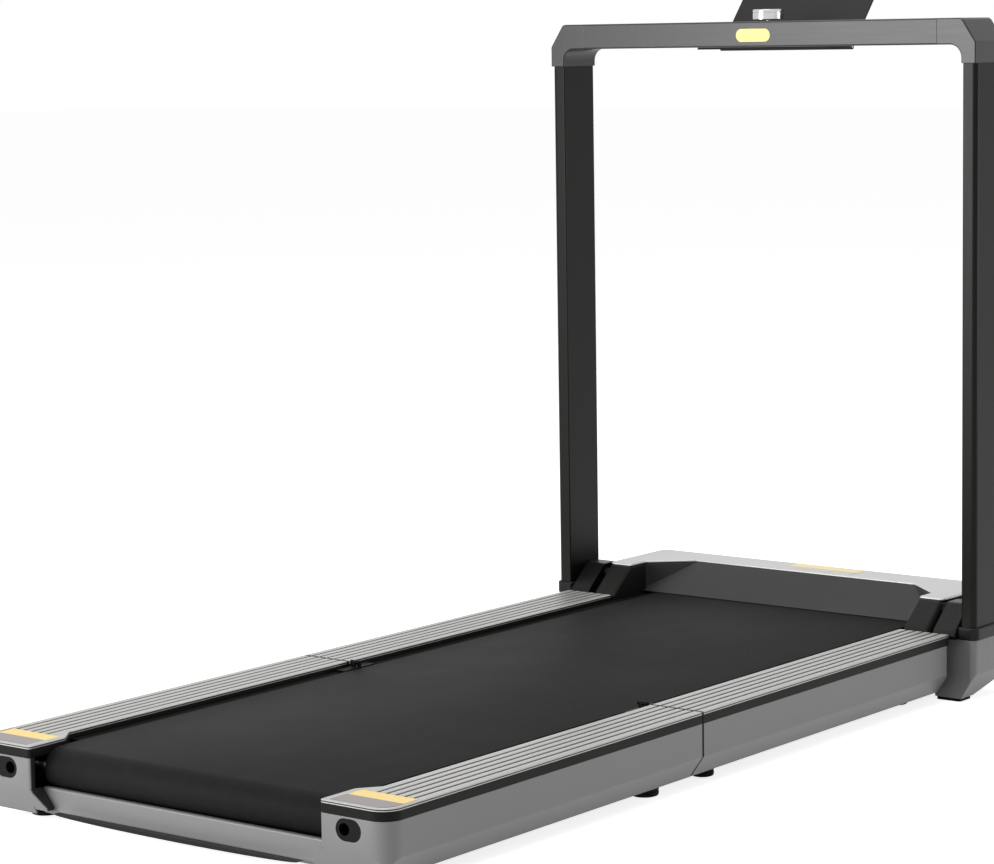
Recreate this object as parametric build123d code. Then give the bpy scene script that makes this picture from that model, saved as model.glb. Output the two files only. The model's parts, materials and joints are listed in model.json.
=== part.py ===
from build123d import *
import os

os.makedirs("parts", exist_ok=True)

# A folding walking pad, in millimetres. +Z is up, +Y points to the front (the hood
# and the handle frame) and +X to the user's right. The origin is on the floor, in
# the middle of the unfolded pad. The walking deck folds upwards at its middle and
# the handle frame then folds back over it.

# Overall sizes
overall_length = 1428.0
deck_width = 658.8
rail_height = 98.0
rear_length = 611.0
seam_gap = 1.5

# Foot rails, their black trim and the side panels
rail_width = 78.6
rail_thickness = 3.6
rail_rib_count = 6
rail_groove_width = 3.8
rail_groove_depth = 2.0
trim_height = 15.0
panel_wall = 2.5
panel_knee = 57.0
panel_bottom = 85.0
panel_inset = 20.0
front_panel_gap = 5.25
rail_end_margin = 3.0
panel_return = 6.0

# Rear end caps
cap_widening = 20.0
cap_length = 60.0
cap_diagonal = 26.0
cap_corner_radius = 25.0
cap_rear_inset = 12.0
cap_flare = 18.0
cap_flare_top = 44.0
cap_return = 8.0
rear_cover_setback = 21.0
rear_cover_drop = 53.0
rear_cover_foot = 39.0
label_recess_length = 62.0
label_recess_margin = 5.0
bezel_width = 37.0
bezel_height = 26.0
bezel_inset = 57.4
bezel_bolt_offset = 6.5
bolt_hole_radius = 7.5
bolt_lift = 2.6
tension_bolt_radius = 4.0
tension_bolt_head_radius = 6.5

# Frame of each deck half
beam_width = 38.0
beam_wall = 2.0
beam_side_gap = 4.2
cross_tube_height = 26.0
cross_tube_width = 30.0
rear_tail_height = 20.0
front_tube_reach = 70.0
pan_side_gap = 2.9
pan_thickness = 2.0

# Belt, deck board and rollers
belt_side_gap = 22.3
belt_thickness = 2.0
belt_drop = 7.0
board_thickness = 13.0
board_side_gap = 1.8
roller_radius = 23.3
roller_wall = 3.0
roller_overhang = 1.5
axle_radius = 7.5
axle_reach = 12.0
rear_roller_y_from_end = 48.0
belt_motor_gap = 2.0
running_clearance = 0.05
belt_clearance = 0.3

# Drive
roller_pulley_radius = 22.0
motor_pulley_radius = 11.0
pulley_width = 18.0
pulley_flange = 1.5
drive_belt_thickness = 2.5
motor_radius = 36.0
motor_length = 170.0
motor_y_from_front = 42.0
motor_axis_height = 72.0
motor_shaft_radius = 5.0
controller_offset = 20.0
controller_width = 80.0
controller_from_front = 66.0
controller_depth = 54.0
controller_height = 51.0
controller_fin_height = 14.0
controller_fin_pitch = 8.5

# Hood
hood_length = 201.0
hood_arm_width = 41.2
hood_top = 36.0
hood_arm_run = 43.0
hood_slope_foot = 123.0
hood_slope_run = 57.0
hood_corner_y = 118.0
hood_corner_width = 60.0
hood_wall = 2.5
top_plate_thickness = 3.0
hood_front_radius = 12.0
hood_arm_chamfer = 3.0

# Handle frame
pivot_y_from_front = 154.0
pivot_height = 22.0
pivot_pin_radius = 7.0
ear_thickness = 9.0
hump_gap = 7.0
hump_width = 36.0
post_gap = 4.0
post_thickness = 22.0
post_depth = 74.0
post_wall = 2.5
post_corner_radius = 7.0
collar_wall = 4.0
collar_bottom = 8.5
collar_height = 17.2
foot_sole_thickness = 4.0
foot_chamfer_width = 24.0
foot_sole_length = 32.0
foot_front_length = 108.0
crossbar_underside = 816.2
crossbar_height = 36.4
crossbar_proud = 3.5
crossbar_wall = 3.0
corner_length = 61.0
corner_drop = 25.4
corner_chamfer_x = 22.0
corner_chamfer_z = 33.0
corner_fillet = 18.0

# Console
knob_radius = 22.0
knob_height = 15.2
knob_travel = 1.5
knob_rest_gap = 0.4
knob_shaft_radius = 3.0
tray_width = 225.0
tray_thickness = 3.0
panel_length = 155.0
panel_thickness = 4.0
panel_lean = 40.5
tilt_barrel_radius = 4.0
tilt_pin_radius = 1.6

# Fold hinge
hinge_lift = 0.4
hinge_barrel_radius = 2.4
hinge_pin_radius = 1.3
hinge_side_gap = 2.0
hinge_length = 15.0
hinge_leaf_length = 30.0
hinge_leaf_thickness = 3.0
hinge_web = 3.0
knuckle_gap = 0.4

# Feet, wheels and inlet
foot_radius = 18.0
small_foot_radius = 15.0
tail_foot_inset = 63.4
tail_foot_y = 58.0
side_foot_inset = 43.4
seam_foot_rear = 66.0
seam_foot_front = 61.0
hood_foot_inset = 60.4
hood_foot_gap = 47.0
wheel_radius = 20.0
wheel_width = 16.0
wheel_axle_radius = 4.0
wheel_y_from_front = 26.0
wheel_lift = 1.0

rear_end = -overall_length / 2
front_end = overall_length / 2
seam_y = rear_end + rear_length
rail_out = deck_width / 2
rail_in = rail_out - rail_width
rail_bottom = rail_height - rail_thickness
trim_bottom = rail_height - trim_height
knee_z = rail_height - panel_knee
pan_z = rail_height - panel_bottom
belt_top = rail_height - belt_drop
board_top = belt_top - belt_thickness
board_bottom = board_top - board_thickness
belt_half_width = rail_in - belt_side_gap
roller_half = belt_half_width + roller_overhang
belt_outer_radius = roller_radius + belt_clearance + belt_thickness
roller_z = belt_top - belt_outer_radius
bolt_z = roller_z + bolt_lift
bezel_centre_x = rail_out - bezel_inset
bolt_x = bezel_centre_x - bezel_bolt_offset
beam_bottom = pan_z + pan_thickness
beam_in = rail_in + beam_side_gap
beam_out = beam_in + beam_width
beam_top = rail_bottom - panel_wall
rear_roller_y = rear_end + rear_roller_y_from_end
motor_y = front_end - motor_y_from_front
front_roller_y = motor_y - motor_radius - belt_motor_gap - belt_outer_radius
hood_rear = front_end - hood_length
front_panel_end = hood_rear - front_panel_gap
front_rail_end = front_panel_end - rail_end_margin
pivot_y = front_end - pivot_y_from_front
pivot_z = rail_height + pivot_height
hood_out = rail_in + hood_arm_width
hump_in = hood_out + hump_gap
hump_out = hump_in + hump_width
post_in = hump_out + post_gap
post_outer = post_in + post_thickness
foot_chamfer_x = post_outer - foot_chamfer_width
post_rear = pivot_y - post_depth / 2
post_front = pivot_y + post_depth / 2
collar_z = rail_height - collar_bottom
bar_bottom = rail_height + crossbar_underside
bar_top = bar_bottom + crossbar_height
bar_rear = post_rear - crossbar_proud
bar_front = post_front + crossbar_proud
corner_bottom = bar_bottom - corner_drop
knob_gap = knob_travel + knob_rest_gap
side_open = rail_out - panel_inset - panel_wall - panel_return
pan_half = rail_out - panel_inset - panel_wall - pan_side_gap
side_foot_x = rail_out - side_foot_inset


def block(x0, x1, y0, y1, z0, z1):
    centre = Pos((x0 + x1) / 2, (y0 + y1) / 2, (z0 + z1) / 2)
    return centre * Box(x1 - x0, y1 - y0, z1 - z0)


def rod_x(x0, x1, y, z, radius):
    return Pos((x0 + x1) / 2, y, z) * Rot(0, 90, 0) * Cylinder(radius, x1 - x0)


def rod_y(x, y0, y1, z, radius):
    return Pos(x, (y0 + y1) / 2, z) * Rot(90, 0, 0) * Cylinder(radius, y1 - y0)


def rod_z(x, y, z0, z1, radius):
    return Pos(x, y, (z0 + z1) / 2) * Cylinder(radius, z1 - z0)


def outline(points, radii=()):
    face = make_face(Polyline(*points, close=True))
    for index, radius in radii:
        corner = Vector(*points[index])
        nearest = min(face.vertices(), key=lambda v: (Vector(v) - corner).length)
        face = fillet(nearest, radius)
    return face


def upright(face, z0, z1):
    return extrude(Pos(0, 0, z0) * face, amount=z1 - z0, dir=(0, 0, 1))


def across(points, x0, x1, radii=()):
    """A profile of (y, z) points, extruded from x0 to x1."""
    face = Pos(x0, 0, 0) * (Plane.YZ * outline(points, radii))
    return extrude(face, amount=x1 - x0, dir=(1, 0, 0))


def along(points, y0, y1, radii=()):
    """A profile of (x, z) points, extruded from y0 to y1."""
    face = Pos(0, y0, 0) * (Plane.XZ * outline(points, radii))
    return extrude(face, amount=y1 - y0, dir=(0, 1, 0))


def left(part):
    return mirror(part, about=Plane.YZ)


def save(name, part):
    export_step(part, "parts/" + name + ".step")


def save_pair(name, part):
    save("right_" + name, part)
    save("left_" + name, left(part))


def group(*parts):
    return Compound(children=[solid for part in parts for solid in part.solids()])


# Foot rails: ribbed aluminium treads along both sides

def rear_plan(y_to, inset=0.0):
    cap_in = rail_in - cap_widening
    points = [
        (cap_in, rear_end),
        (rail_out, rear_end),
        (rail_out, y_to),
        (rail_in, y_to),
        (rail_in, rear_end + cap_length + cap_diagonal),
        (cap_in, rear_end + cap_length),
    ]
    face = outline(points, ((0, 4.0), (1, cap_corner_radius), (4, 8.0), (5, 8.0)))
    if inset:
        face = offset(face, -inset, kind=Kind.INTERSECTION)
    return face


def cut_grooves(rail, y0, y1):
    pitch = rail_width / rail_rib_count
    floor = rail_height - rail_groove_depth
    for index in range(1, rail_rib_count):
        x = rail_in + index * pitch
        half = rail_groove_width / 2
        rail -= block(x - half, x + half, y0, y1, floor, rail_height + 1)
    return rail


def rear_rail():
    rail = upright(rear_plan(seam_y - seam_gap / 2), rail_bottom, rail_height)
    top_edges = rail.faces().sort_by(Axis.Z)[-1].outer_wire().edges()
    rail = chamfer(top_edges, 0.8)
    rail = cut_grooves(rail, rear_end + label_recess_length, seam_y)
    margin = label_recess_margin
    label = block(
        rail_in - cap_widening / 2,
        rail_out - margin,
        rear_end + margin,
        rear_end + label_recess_length,
        rail_height - 0.6,
        rail_height + 1,
    )
    corner = label.edges().filter_by(Axis.Z).sort_by_distance((rail_out, rear_end, rail_height))[0]
    return rail - fillet(corner, cap_corner_radius - margin)


def front_rail():
    rail = block(
        rail_in, rail_out, seam_y + seam_gap / 2, front_rail_end, rail_bottom, rail_height
    )
    rail = chamfer(rail.faces().sort_by(Axis.Z)[-1].outer_wire().edges(), 0.8)
    return cut_grooves(rail, seam_y, front_rail_end + 1)


# Black trim: a channel under each rail that shows as a strip along the side

def rear_trim():
    outer = upright(rear_plan(seam_y - seam_gap / 2), trim_bottom, rail_bottom)
    hollow = upright(
        rear_plan(seam_y - seam_gap / 2, panel_wall), trim_bottom, rail_bottom - panel_wall
    )
    return outer - hollow


def front_trim():
    y0 = seam_y + seam_gap / 2
    outer = block(rail_in, rail_out, y0, front_rail_end, trim_bottom, rail_bottom)
    hollow = block(
        rail_in + panel_wall,
        rail_out - panel_wall,
        y0 + panel_wall,
        front_rail_end - panel_wall,
        trim_bottom,
        rail_bottom - panel_wall,
    )
    return outer - hollow


# Side panels: grey covers, upright down to a knee and then sloping in

def lower_cut(edge, run, z_low):
    """Points of the wedge that slopes a cover in below the knee: (across, z) pairs."""
    slope = run / (knee_z - pan_z)
    return [
        (edge - 60, knee_z + 200),
        (edge, knee_z + 200),
        (edge, knee_z),
        (edge + slope * (knee_z - z_low), z_low),
        (edge - 60, z_low),
    ]


def covered(plan, inset, z_low):
    """A cover's plan, stood upright and sloped in on its outer side below the knee."""
    body = upright(plan, z_low, trim_bottom)
    points = lower_cut(-rail_out + inset, panel_inset, z_low - 1)
    span = overall_length + 400
    return body - along([(-x, z) for x, z in points], -span / 2, span / 2)


def rear_cover_slope(inset, z_low):
    points = lower_cut(rear_end + inset, cap_rear_inset, z_low - 1)
    return across(points, 0, 2 * rail_out)


def rear_side_panel():
    y1 = seam_y - seam_gap / 2
    shell = covered(rear_plan(y1), 0.0, pan_z) - rear_cover_slope(0.0, pan_z)
    inner = covered(rear_plan(y1 + 30, panel_wall), panel_wall, pan_z - 1)
    inner -= rear_cover_slope(panel_wall, pan_z - 1)
    shell -= inner
    cap_end = rear_end + cap_length + cap_diagonal + 8
    shell -= block(rail_in - 1, side_open, cap_end, y1 + 1, 0, rail_height)
    cap_in = rail_in - cap_widening
    wall_end = rear_end + cap_return
    shell -= block(cap_in - 1, cap_in + panel_wall + 1, wall_end, cap_end, 0, rail_height)
    diagonal_y = rear_end + cap_length - panel_wall
    shell -= block(cap_in, rail_in + panel_wall + 1, diagonal_y, cap_end + 1, 0, rail_height)
    flare = [
        (cap_in + panel_wall, cap_flare_top),
        (cap_in, cap_flare_top),
        (cap_in - cap_flare, cap_flare_top - 21),
        (cap_in - cap_flare, pan_z + 6),
        (cap_in + panel_wall, pan_z + 6),
    ]
    wing = along(flare, rear_end, rear_end + rear_cover_setback - 0.4)
    shell += wing - rear_cover_slope(0.0, pan_z)
    return shell - extrude(bezel_outline(0.0), amount=panel_wall * 2, dir=(0, 1, 0))


def bezel_outline(gap):
    """The oval hole in the rear face of the cap, less a gap all round."""
    radius = bezel_height / 2 - gap
    straight = bezel_width - bezel_height
    plane = Plane(origin=(bezel_centre_x, rear_end, bolt_z), x_dir=(1, 0, 0), z_dir=(0, -1, 0))
    return plane * SlotCenterToCenter(straight, 2 * radius)


def front_side_panel():
    y0 = seam_y + seam_gap / 2
    y1 = front_panel_end
    plan = outline([(rail_in, y0), (rail_out, y0), (rail_out, y1), (rail_in, y1)], ((2, 10.0),))
    back = y0 - 30
    low = rail_in + panel_wall
    high = rail_out - panel_wall
    end = y1 - panel_wall
    inner = outline([(low, back), (high, back), (high, end), (low, end)], ((2, 7.5),))
    shell = covered(plan, 0.0, pan_z) - covered(inner, panel_wall, pan_z - 1)
    return shell - block(rail_in - 1, side_open, y0 - 1, y1 + 1, 0, rail_height)


# Steel frames: two box beams joined by cross tubes under the deck board

def beam(x0, x1, y0, y1, z0, z1):
    tube = block(x0, x1, y0, y1, z0, z1)
    wall = beam_wall
    return tube - block(x0 + wall, x1 - wall, y0 + wall, y1 - wall, z0 + wall, z1 - wall)


def rear_frame():
    y0 = rear_end + 26
    y1 = seam_y - seam_gap / 2 - 3
    side = beam(beam_in, beam_out, y0, y1, beam_bottom, beam_top)
    side -= rod_y(bolt_x, y0 - 1, y0 + beam_wall + 1, bolt_z, tension_bolt_radius + 0.3)
    side -= block(
        beam_in - 1,
        beam_in + beam_wall + 1,
        rear_roller_y - axle_radius - 8,
        rear_roller_y + axle_radius + 8,
        roller_z - axle_radius - running_clearance,
        roller_z + axle_radius + running_clearance,
    )
    frame = side + left(side)
    tail_top = beam_bottom + rear_tail_height
    tail_y0 = rear_cover_y1()
    frame += hollow_bar(tail_y0, rear_end + cap_length, beam_bottom, tail_top)
    for fraction in (0.3, 0.62, 0.94):
        y = rear_end + fraction * rear_length
        frame += cross_tube(y)
    return frame


def cross_tube(y):
    half = cross_tube_width / 2
    return hollow_bar(y - half, y + half, board_bottom - cross_tube_height, board_bottom)


def hollow_bar(y0, y1, z0, z1):
    """A box bar across the deck, from beam to beam."""
    wall = beam_wall
    bar = block(-beam_in, beam_in, y0, y1, z0, z1)
    return bar - block(-beam_in, beam_in, y0 + wall, y1 - wall, z0 + wall, z1 - wall)


def front_frame():
    y0 = seam_y + seam_gap / 2 + 3
    y1 = front_rail_end - panel_wall - 0.5
    narrow_out = fork_out()
    y2 = front_end - wheel_y_from_front - wheel_radius - 6
    side = beam(beam_in, beam_out, y0, y1, beam_bottom, beam_top)
    side += beam(beam_in, narrow_out, y1 - beam_wall, y2, beam_bottom, trim_bottom)
    y3 = front_end - wheel_y_from_front + 10
    for x0, x1 in ((beam_in, beam_in + beam_wall), (narrow_out - beam_wall, narrow_out)):
        side += block(x0, x1, y2, y3, beam_bottom, beam_bottom + 28)
    wheel_y, wheel_z = wheel_spot()
    side -= rod_x(beam_in - 1, narrow_out + 1, wheel_y, wheel_z, wheel_axle_radius)
    ear_out = ear_in() + ear_thickness
    boss = pivot_pin_radius + 2
    ear = block(ear_in(), ear_out, pivot_y - 12, pivot_y + 24, trim_bottom, pivot_z - 4)
    ear += rod_x(ear_in(), ear_out, pivot_y, pivot_z, boss)
    side += ear
    bore = pivot_pin_radius + running_clearance
    side -= rod_x(ear_in() - 1, ear_out + 1, pivot_y, pivot_z, bore)
    side -= rod_x(beam_in - 1, beam_in + beam_wall + 1, front_roller_y, roller_z, axle_radius)
    frame = side + left(side)
    for fraction in (0.06, 0.38, 0.7, 0.94):
        frame += cross_tube(seam_y + fraction * (hood_rear + front_tube_reach - seam_y))
    saddle_y0 = front_end - motor_y_from_front - 24
    frame += block(-beam_in, beam_in, saddle_y0, saddle_y0 + 44, beam_bottom, beam_bottom + 4)
    return frame


# Deck boards and belt

def board(y0, y1):
    half = rail_in - board_side_gap
    return block(-half, half, y0, y1, board_bottom, board_top)


def rear_board():
    wide_y = rear_end + cap_length + cap_diagonal + 1
    tongue_half = rail_in - cap_widening - board_side_gap
    wide = board(wide_y, seam_y - seam_gap / 2)
    tongue_y = rear_roller_y + 28
    return wide + block(-tongue_half, tongue_half, tongue_y, wide_y, board_bottom, board_top)


def belt_half(roller_y, y_seam, direction):
    """One half of the belt loop: top run, the turn round its roller and the lower run."""
    half = belt_half_width
    inner = belt_outer_radius - belt_thickness
    tail = block(-half, half, *sorted((roller_y, y_seam)), roller_z + inner, belt_top)
    lower = block(
        -half,
        half,
        *sorted((roller_y, y_seam)),
        roller_z - belt_outer_radius,
        roller_z - inner,
    )
    turn = rod_x(-half, half, roller_y, roller_z, belt_outer_radius)
    turn -= rod_x(-half - 1, half + 1, roller_y, roller_z, inner)
    reach = sorted((roller_y, roller_y - direction * 2 * belt_outer_radius))
    turn &= block(-half, half, *reach, 0, rail_height)
    return tail + turn + lower


def roller(y):
    half = roller_half
    tube = rod_x(-half, half, y, roller_z, roller_radius)
    core = rod_x(-half + 14, half - 14, y, roller_z, roller_radius - roller_wall)
    bore = rod_x(-half - 1, half + 1, y, roller_z, axle_radius + running_clearance)
    return tube - core - bore


def axle(y, x_end):
    return rod_x(-x_end, x_end, y, roller_z, axle_radius)


def rear_axle():
    bore = rod_y(bolt_x, rear_end, seam_y, bolt_z, tension_bolt_radius)
    return axle(rear_roller_y, bolt_x + axle_reach) - bore - left(bore)


# Rear cross cover between the caps

def rear_cover_y0():
    return rear_end + rear_cover_setback


def rear_cover_y1():
    return rear_cover_y0() + panel_wall


def rear_cross_cover():
    half = rail_in - cap_widening - 0.6
    y0 = rear_cover_y0()
    top = rail_height - rear_cover_drop
    profile = [
        (y0, pan_z + 1.5),
        (y0, top - 1.5),
        (y0 + 1.5, top),
        (y0 + 7, top),
        (y0 + 7, top - panel_wall),
        (y0 + panel_wall, top - panel_wall),
        (y0 + panel_wall, beam_bottom),
        (y0 + rear_cover_foot, beam_bottom),
        (y0 + rear_cover_foot, pan_z),
        (y0 + 1.5, pan_z),
    ]
    return across(profile, -half, half)


def belly_pan(half, y0, y1):
    pan = block(-half, half, y0, y1, pan_z, beam_bottom)
    return fillet(pan.edges().filter_by(Axis.Z), 6.0)


def feet(spots, z_top):
    pads = []
    for x, y, radius in spots:
        for side in (x, -x):
            pad = rod_z(side, y, 0, z_top, radius)
            pads.append(chamfer(pad.edges().sort_by(Axis.Z)[0], 2.0))
    return group(*pads)


# Belt tension bolts: hex socket screws that pull the rear axle

def tension_bolt():
    seat = rear_end + 26
    bolt = rod_y(bolt_x, seat - 8, seat, bolt_z, tension_bolt_head_radius)
    bolt += rod_y(bolt_x, seat, rear_roller_y + 30, bolt_z, tension_bolt_radius)
    socket = Pos(bolt_x, seat - 8, bolt_z) * Rot(90, 0, 0) * extrude(
        RegularPolygon(3.4, 6), amount=5, both=True
    )
    return bolt - socket


def bolt_bezel():
    bezel = extrude(bezel_outline(0.1), amount=6.0, dir=(0, 1, 0))
    bezel = Pos(0, 0.6, 0) * bezel
    return bezel - rod_y(bolt_x, rear_end - 1, rear_end + 9, bolt_z, bolt_hole_radius)


# Fold hinges: small knuckles beside the belt, just above the rails

def hinge_x0():
    return belt_half_width + hinge_side_gap


def knuckle_span(index):
    pitch = hinge_length / 3
    x0 = hinge_x0() + index * pitch
    return x0 + knuckle_gap / 2, x0 + pitch - knuckle_gap / 2


def hinge_leaf(knuckles, direction):
    z_axis = rail_height + hinge_lift
    leaf_top = board_top + hinge_leaf_thickness
    near = seam_gap / 2
    ends = sorted((seam_y + direction * near, seam_y + direction * (near + hinge_leaf_length)))
    leaf = block(hinge_x0(), hinge_x0() + hinge_length, *ends, board_top, leaf_top)
    for index in knuckles:
        x0, x1 = knuckle_span(index)
        leaf += rod_x(x0, x1, seam_y, z_axis, hinge_barrel_radius)
        web = sorted((seam_y + direction * near, seam_y + direction * (near + hinge_web)))
        leaf += block(x0, x1, *web, board_top, z_axis)
    for step in (0.35, 0.75):
        y = seam_y + direction * (near + step * hinge_leaf_length)
        x = hinge_x0() + hinge_length / 2
        leaf -= Pos(x, y, leaf_top - 1.0) * Cone(2.0, 4.0, 2.0)
    return leaf


def hinge_pin():
    z_axis = rail_height + hinge_lift
    return rod_x(hinge_x0(), hinge_x0() + hinge_length, seam_y, z_axis, hinge_pin_radius)


def hinge_bore(extra):
    z_axis = rail_height + hinge_lift
    x0 = hinge_x0() - 1
    return rod_x(x0, x0 + hinge_length + 2, seam_y, z_axis, hinge_pin_radius + extra)


# Hood: the black shell over the motor, with two arms beside the belt

def hood_body(inset, z_floor):
    top = rail_height + hood_top - inset
    out = hood_out - inset
    slope_y = hood_rear + inset * 1.4
    front = front_end - inset
    arm = [
        (slope_y, z_floor),
        (slope_y, rail_height - 4),
        (slope_y + 4, rail_height + 3),
        (slope_y + hood_arm_run, top),
        (front, top),
        (front, z_floor),
    ]
    body = across(arm, -out, out, ((3, 9.0), (4, hood_front_radius - inset / 2)))
    corners = body.edges().filter_by(Axis.Z).group_by(Axis.Y)[-1]
    body = fillet(corners, hood_front_radius - inset)
    return body - hood_recess(inset)


def hood_recess(inset):
    """The space above the belt: the sloping face with a flat facet in each corner."""
    side = rail_in + inset
    foot_y = front_end - hood_slope_foot + inset
    corner_y = front_end - hood_corner_y + inset
    corner_x = side - hood_corner_width
    top_y = foot_y + hood_slope_run
    points = [
        (-side, hood_rear - 30),
        (side, hood_rear - 30),
        (side, corner_y),
        (corner_x, top_y),
        (-corner_x, top_y),
        (-side, corner_y),
    ]
    plan = outline(points, ((2, 10.0), (5, 10.0)))
    prism = upright(plan, 0, 2 * rail_height)
    low = belt_top + 1
    above = low + 2 * (rail_height + hood_top - low)
    rear_y = hood_rear - 31
    slope = [
        (rear_y, -10),
        (foot_y, -10),
        (foot_y, low),
        (foot_y + 2 * hood_slope_run, above),
        (rear_y, above),
    ]
    return prism & across(slope, -2 * side, 2 * side)


def motor_hood():
    floor = beam_bottom
    shell = hood_body(0.0, floor) - hood_body(hood_wall, floor - 1)
    mouth_y = front_end - hood_slope_foot + 14
    shell -= block(-rail_in, rail_in, hood_rear - 20, mouth_y, 0, belt_top + 1)
    inside = hood_out - hood_wall
    shell -= block(-inside, inside, hood_rear - 20, mouth_y, 0, trim_bottom + 1)
    for side in (-1, 1):
        x = sorted((side * (hood_out - 8), side * (hood_out + 1)))
        shell -= rod_x(*x, pivot_y, pivot_z, pivot_pin_radius + 1)
    x0, x1, z0, z1 = inlet_window()
    shell -= block(x0, x1, front_end - 6, front_end + 1, z0, z1)
    arm_edges = [edge for edge in shell.edges() if abs(abs(edge.center().X) - rail_in) < 0.01]
    arm_edges = [edge for edge in arm_edges if edge.center().Z > rail_height + 6]
    arm_edges = [edge for edge in arm_edges if 10 < edge.center().Y - hood_rear < hood_arm_run - 10]
    return chamfer(arm_edges, hood_arm_chamfer)


def hood_top_plate():
    z0 = rail_height + hood_top
    side = rail_in
    arm_start = hood_rear + hood_arm_run + 3
    corner_y = front_end - hood_corner_y
    top_y = front_end - hood_slope_foot + hood_slope_run
    front = front_end - hood_front_radius + 2
    half = hood_out - 1
    points = [
        (side, arm_start),
        (half, arm_start),
        (half, front),
        (-half, front),
        (-half, arm_start),
        (-side, arm_start),
        (-side, corner_y),
        (-side + hood_corner_width, top_y),
        (side - hood_corner_width, top_y),
        (side, corner_y),
    ]
    radii = ((0, 3.0), (1, 8.0), (2, 14.0), (3, 14.0), (4, 8.0), (5, 3.0))
    radii += ((6, 10.0), (9, 10.0), (7, 6.0), (8, 6.0))
    plate = upright(outline(points, radii), z0, z0 + top_plate_thickness)
    return chamfer(plate.faces().sort_by(Axis.Z)[-1].outer_wire().edges(), 1.4)


def inlet_window():
    return 120.0, 186.0, rail_height - 62, rail_height - 26


def power_inlet():
    x0, x1, z0, z1 = inlet_window()
    gap = 0.2
    y1 = front_end - 1
    module = block(x0 + gap, x1 - gap, y1 - 9, y1, z0 + gap, z1 - gap)
    socket_x = x0 + 20
    middle = (z0 + z1) / 2
    module -= block(socket_x - 12, socket_x + 12, y1 - 7, y1 + 1, middle - 8, middle + 8)
    for dx, dz in ((-7, -1.5), (0, 3), (7, -1.5)):
        x = socket_x + dx
        z = middle + dz
        module += block(x - 1, x + 1, y1 - 8, y1 - 2, z - 2, z + 2)
    cavity_x = rocker_x()
    module -= block(cavity_x - 6, cavity_x + 6, y1 - 7.5, y1 + 1, middle - 11, middle + 11)
    module += rod_x(cavity_x - 6.5, cavity_x - 4.8, y1 - 3, middle, 1.2)
    module += rod_x(cavity_x + 4.8, cavity_x + 6.5, y1 - 3, middle, 1.2)
    return module


def rocker_x():
    x0, x1, z0, z1 = inlet_window()
    return x1 - 14


def power_rocker():
    x0, x1, z0, z1 = inlet_window()
    middle = (z0 + z1) / 2
    x = rocker_x()
    y = front_end - 4
    profile = [(y - 3, middle - 4), (y + 2.2, middle - 9), (y + 0.9, middle), (y + 2.2, middle + 9)]
    profile += [(y - 3, middle + 4)]
    rocker = across(profile, x - 5.5, x + 5.5)
    rocker -= rod_x(x - 6, x - 4.6, y, middle, 1.3)
    rocker -= rod_x(x + 4.6, x + 6, y, middle, 1.3)
    return Pos(0, y, middle) * Rot(8, 0, 0) * Pos(0, -y, -middle) * rocker


# Motor, pulleys and drive belt

def pulley_x():
    return -(roller_half + 2), -(roller_half + 2 + pulley_width)


def motor_axis():
    return motor_y, motor_axis_height


def grooved_pulley(y, z, radius):
    x1, x0 = pulley_x()
    wheel = rod_x(x0, x1, y, z, radius)
    for end in (x0, x1 - pulley_flange):
        wheel += rod_x(end, end + pulley_flange, y, z, radius + 2)
    return wheel


def roller_pulley():
    wheel = grooved_pulley(front_roller_y, roller_z, roller_pulley_radius)
    x1, x0 = pulley_x()
    wheel += rod_x(x1, -roller_half, front_roller_y, roller_z, axle_radius + 5)
    bore = rod_x(x0 - 1, x1 + 4, front_roller_y, roller_z, axle_radius + running_clearance)
    return wheel - bore


def motor_pulley():
    y, z = motor_axis()
    x1, x0 = pulley_x()
    wheel = grooved_pulley(y, z, motor_pulley_radius)
    return wheel + rod_x(x1, motor_x1() - 30, y, z, motor_shaft_radius)


def motor_x1():
    x1, x0 = pulley_x()
    return x1 + 62


def motor():
    y, z = motor_axis()
    x0 = motor_x1() - 40
    body = rod_x(x0, x0 + motor_length, y, z, motor_radius)
    body = fillet(body.edges(), 4.0)
    for index in range(1, 9):
        x = x0 + 22 + index * 13
        ring = rod_x(x, x + 5, y, z, motor_radius + 1) - rod_x(x, x + 5, y, z, motor_radius - 2)
        body -= ring
    saddle = block(x0 + 30, x0 + motor_length - 30, y - 18, y + 18, beam_bottom + 4, z)
    body += saddle
    return body - rod_x(x0 - 1, x0 + 32, y, z, motor_shaft_radius + running_clearance)


def drive_belt():
    y2, z2 = motor_axis()
    x1, x0 = pulley_x()

    def loop(gap):
        first = Pos(front_roller_y, roller_z) * Circle(roller_pulley_radius + gap)
        second = Pos(y2, z2) * Circle(motor_pulley_radius + gap)
        return Plane.YZ * make_hull(first.edges() + second.edges())

    outer = loop(belt_clearance + drive_belt_thickness)
    inner = loop(belt_clearance)
    x_from = x0 + pulley_flange + 0.5
    x_to = x1 - pulley_flange - 0.5
    belt = extrude(Pos(x_from, 0, 0) * outer, amount=x_to - x_from, dir=(1, 0, 0))
    return belt - extrude(Pos(x_from - 1, 0, 0) * inner, amount=x_to - x_from + 2, dir=(1, 0, 0))


def controller():
    x0 = controller_offset
    x1 = x0 + controller_width
    y0 = front_end - controller_from_front
    y1 = y0 + controller_depth
    z0 = beam_bottom + 4
    z1 = z0 + controller_height
    case = block(x0, x1, y0, y1, z0, z1)
    case += block(x0 - 5, x1 + 5, y0 + 4, y1 - 14, z0, z0 + 3)
    for index in range(9):
        x = x0 + 4 + index * controller_fin_pitch
        case += block(x, x + 3, y0 + 3, y1 - 4, z1, z1 + controller_fin_height)
    return case


# Handle frame

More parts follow.
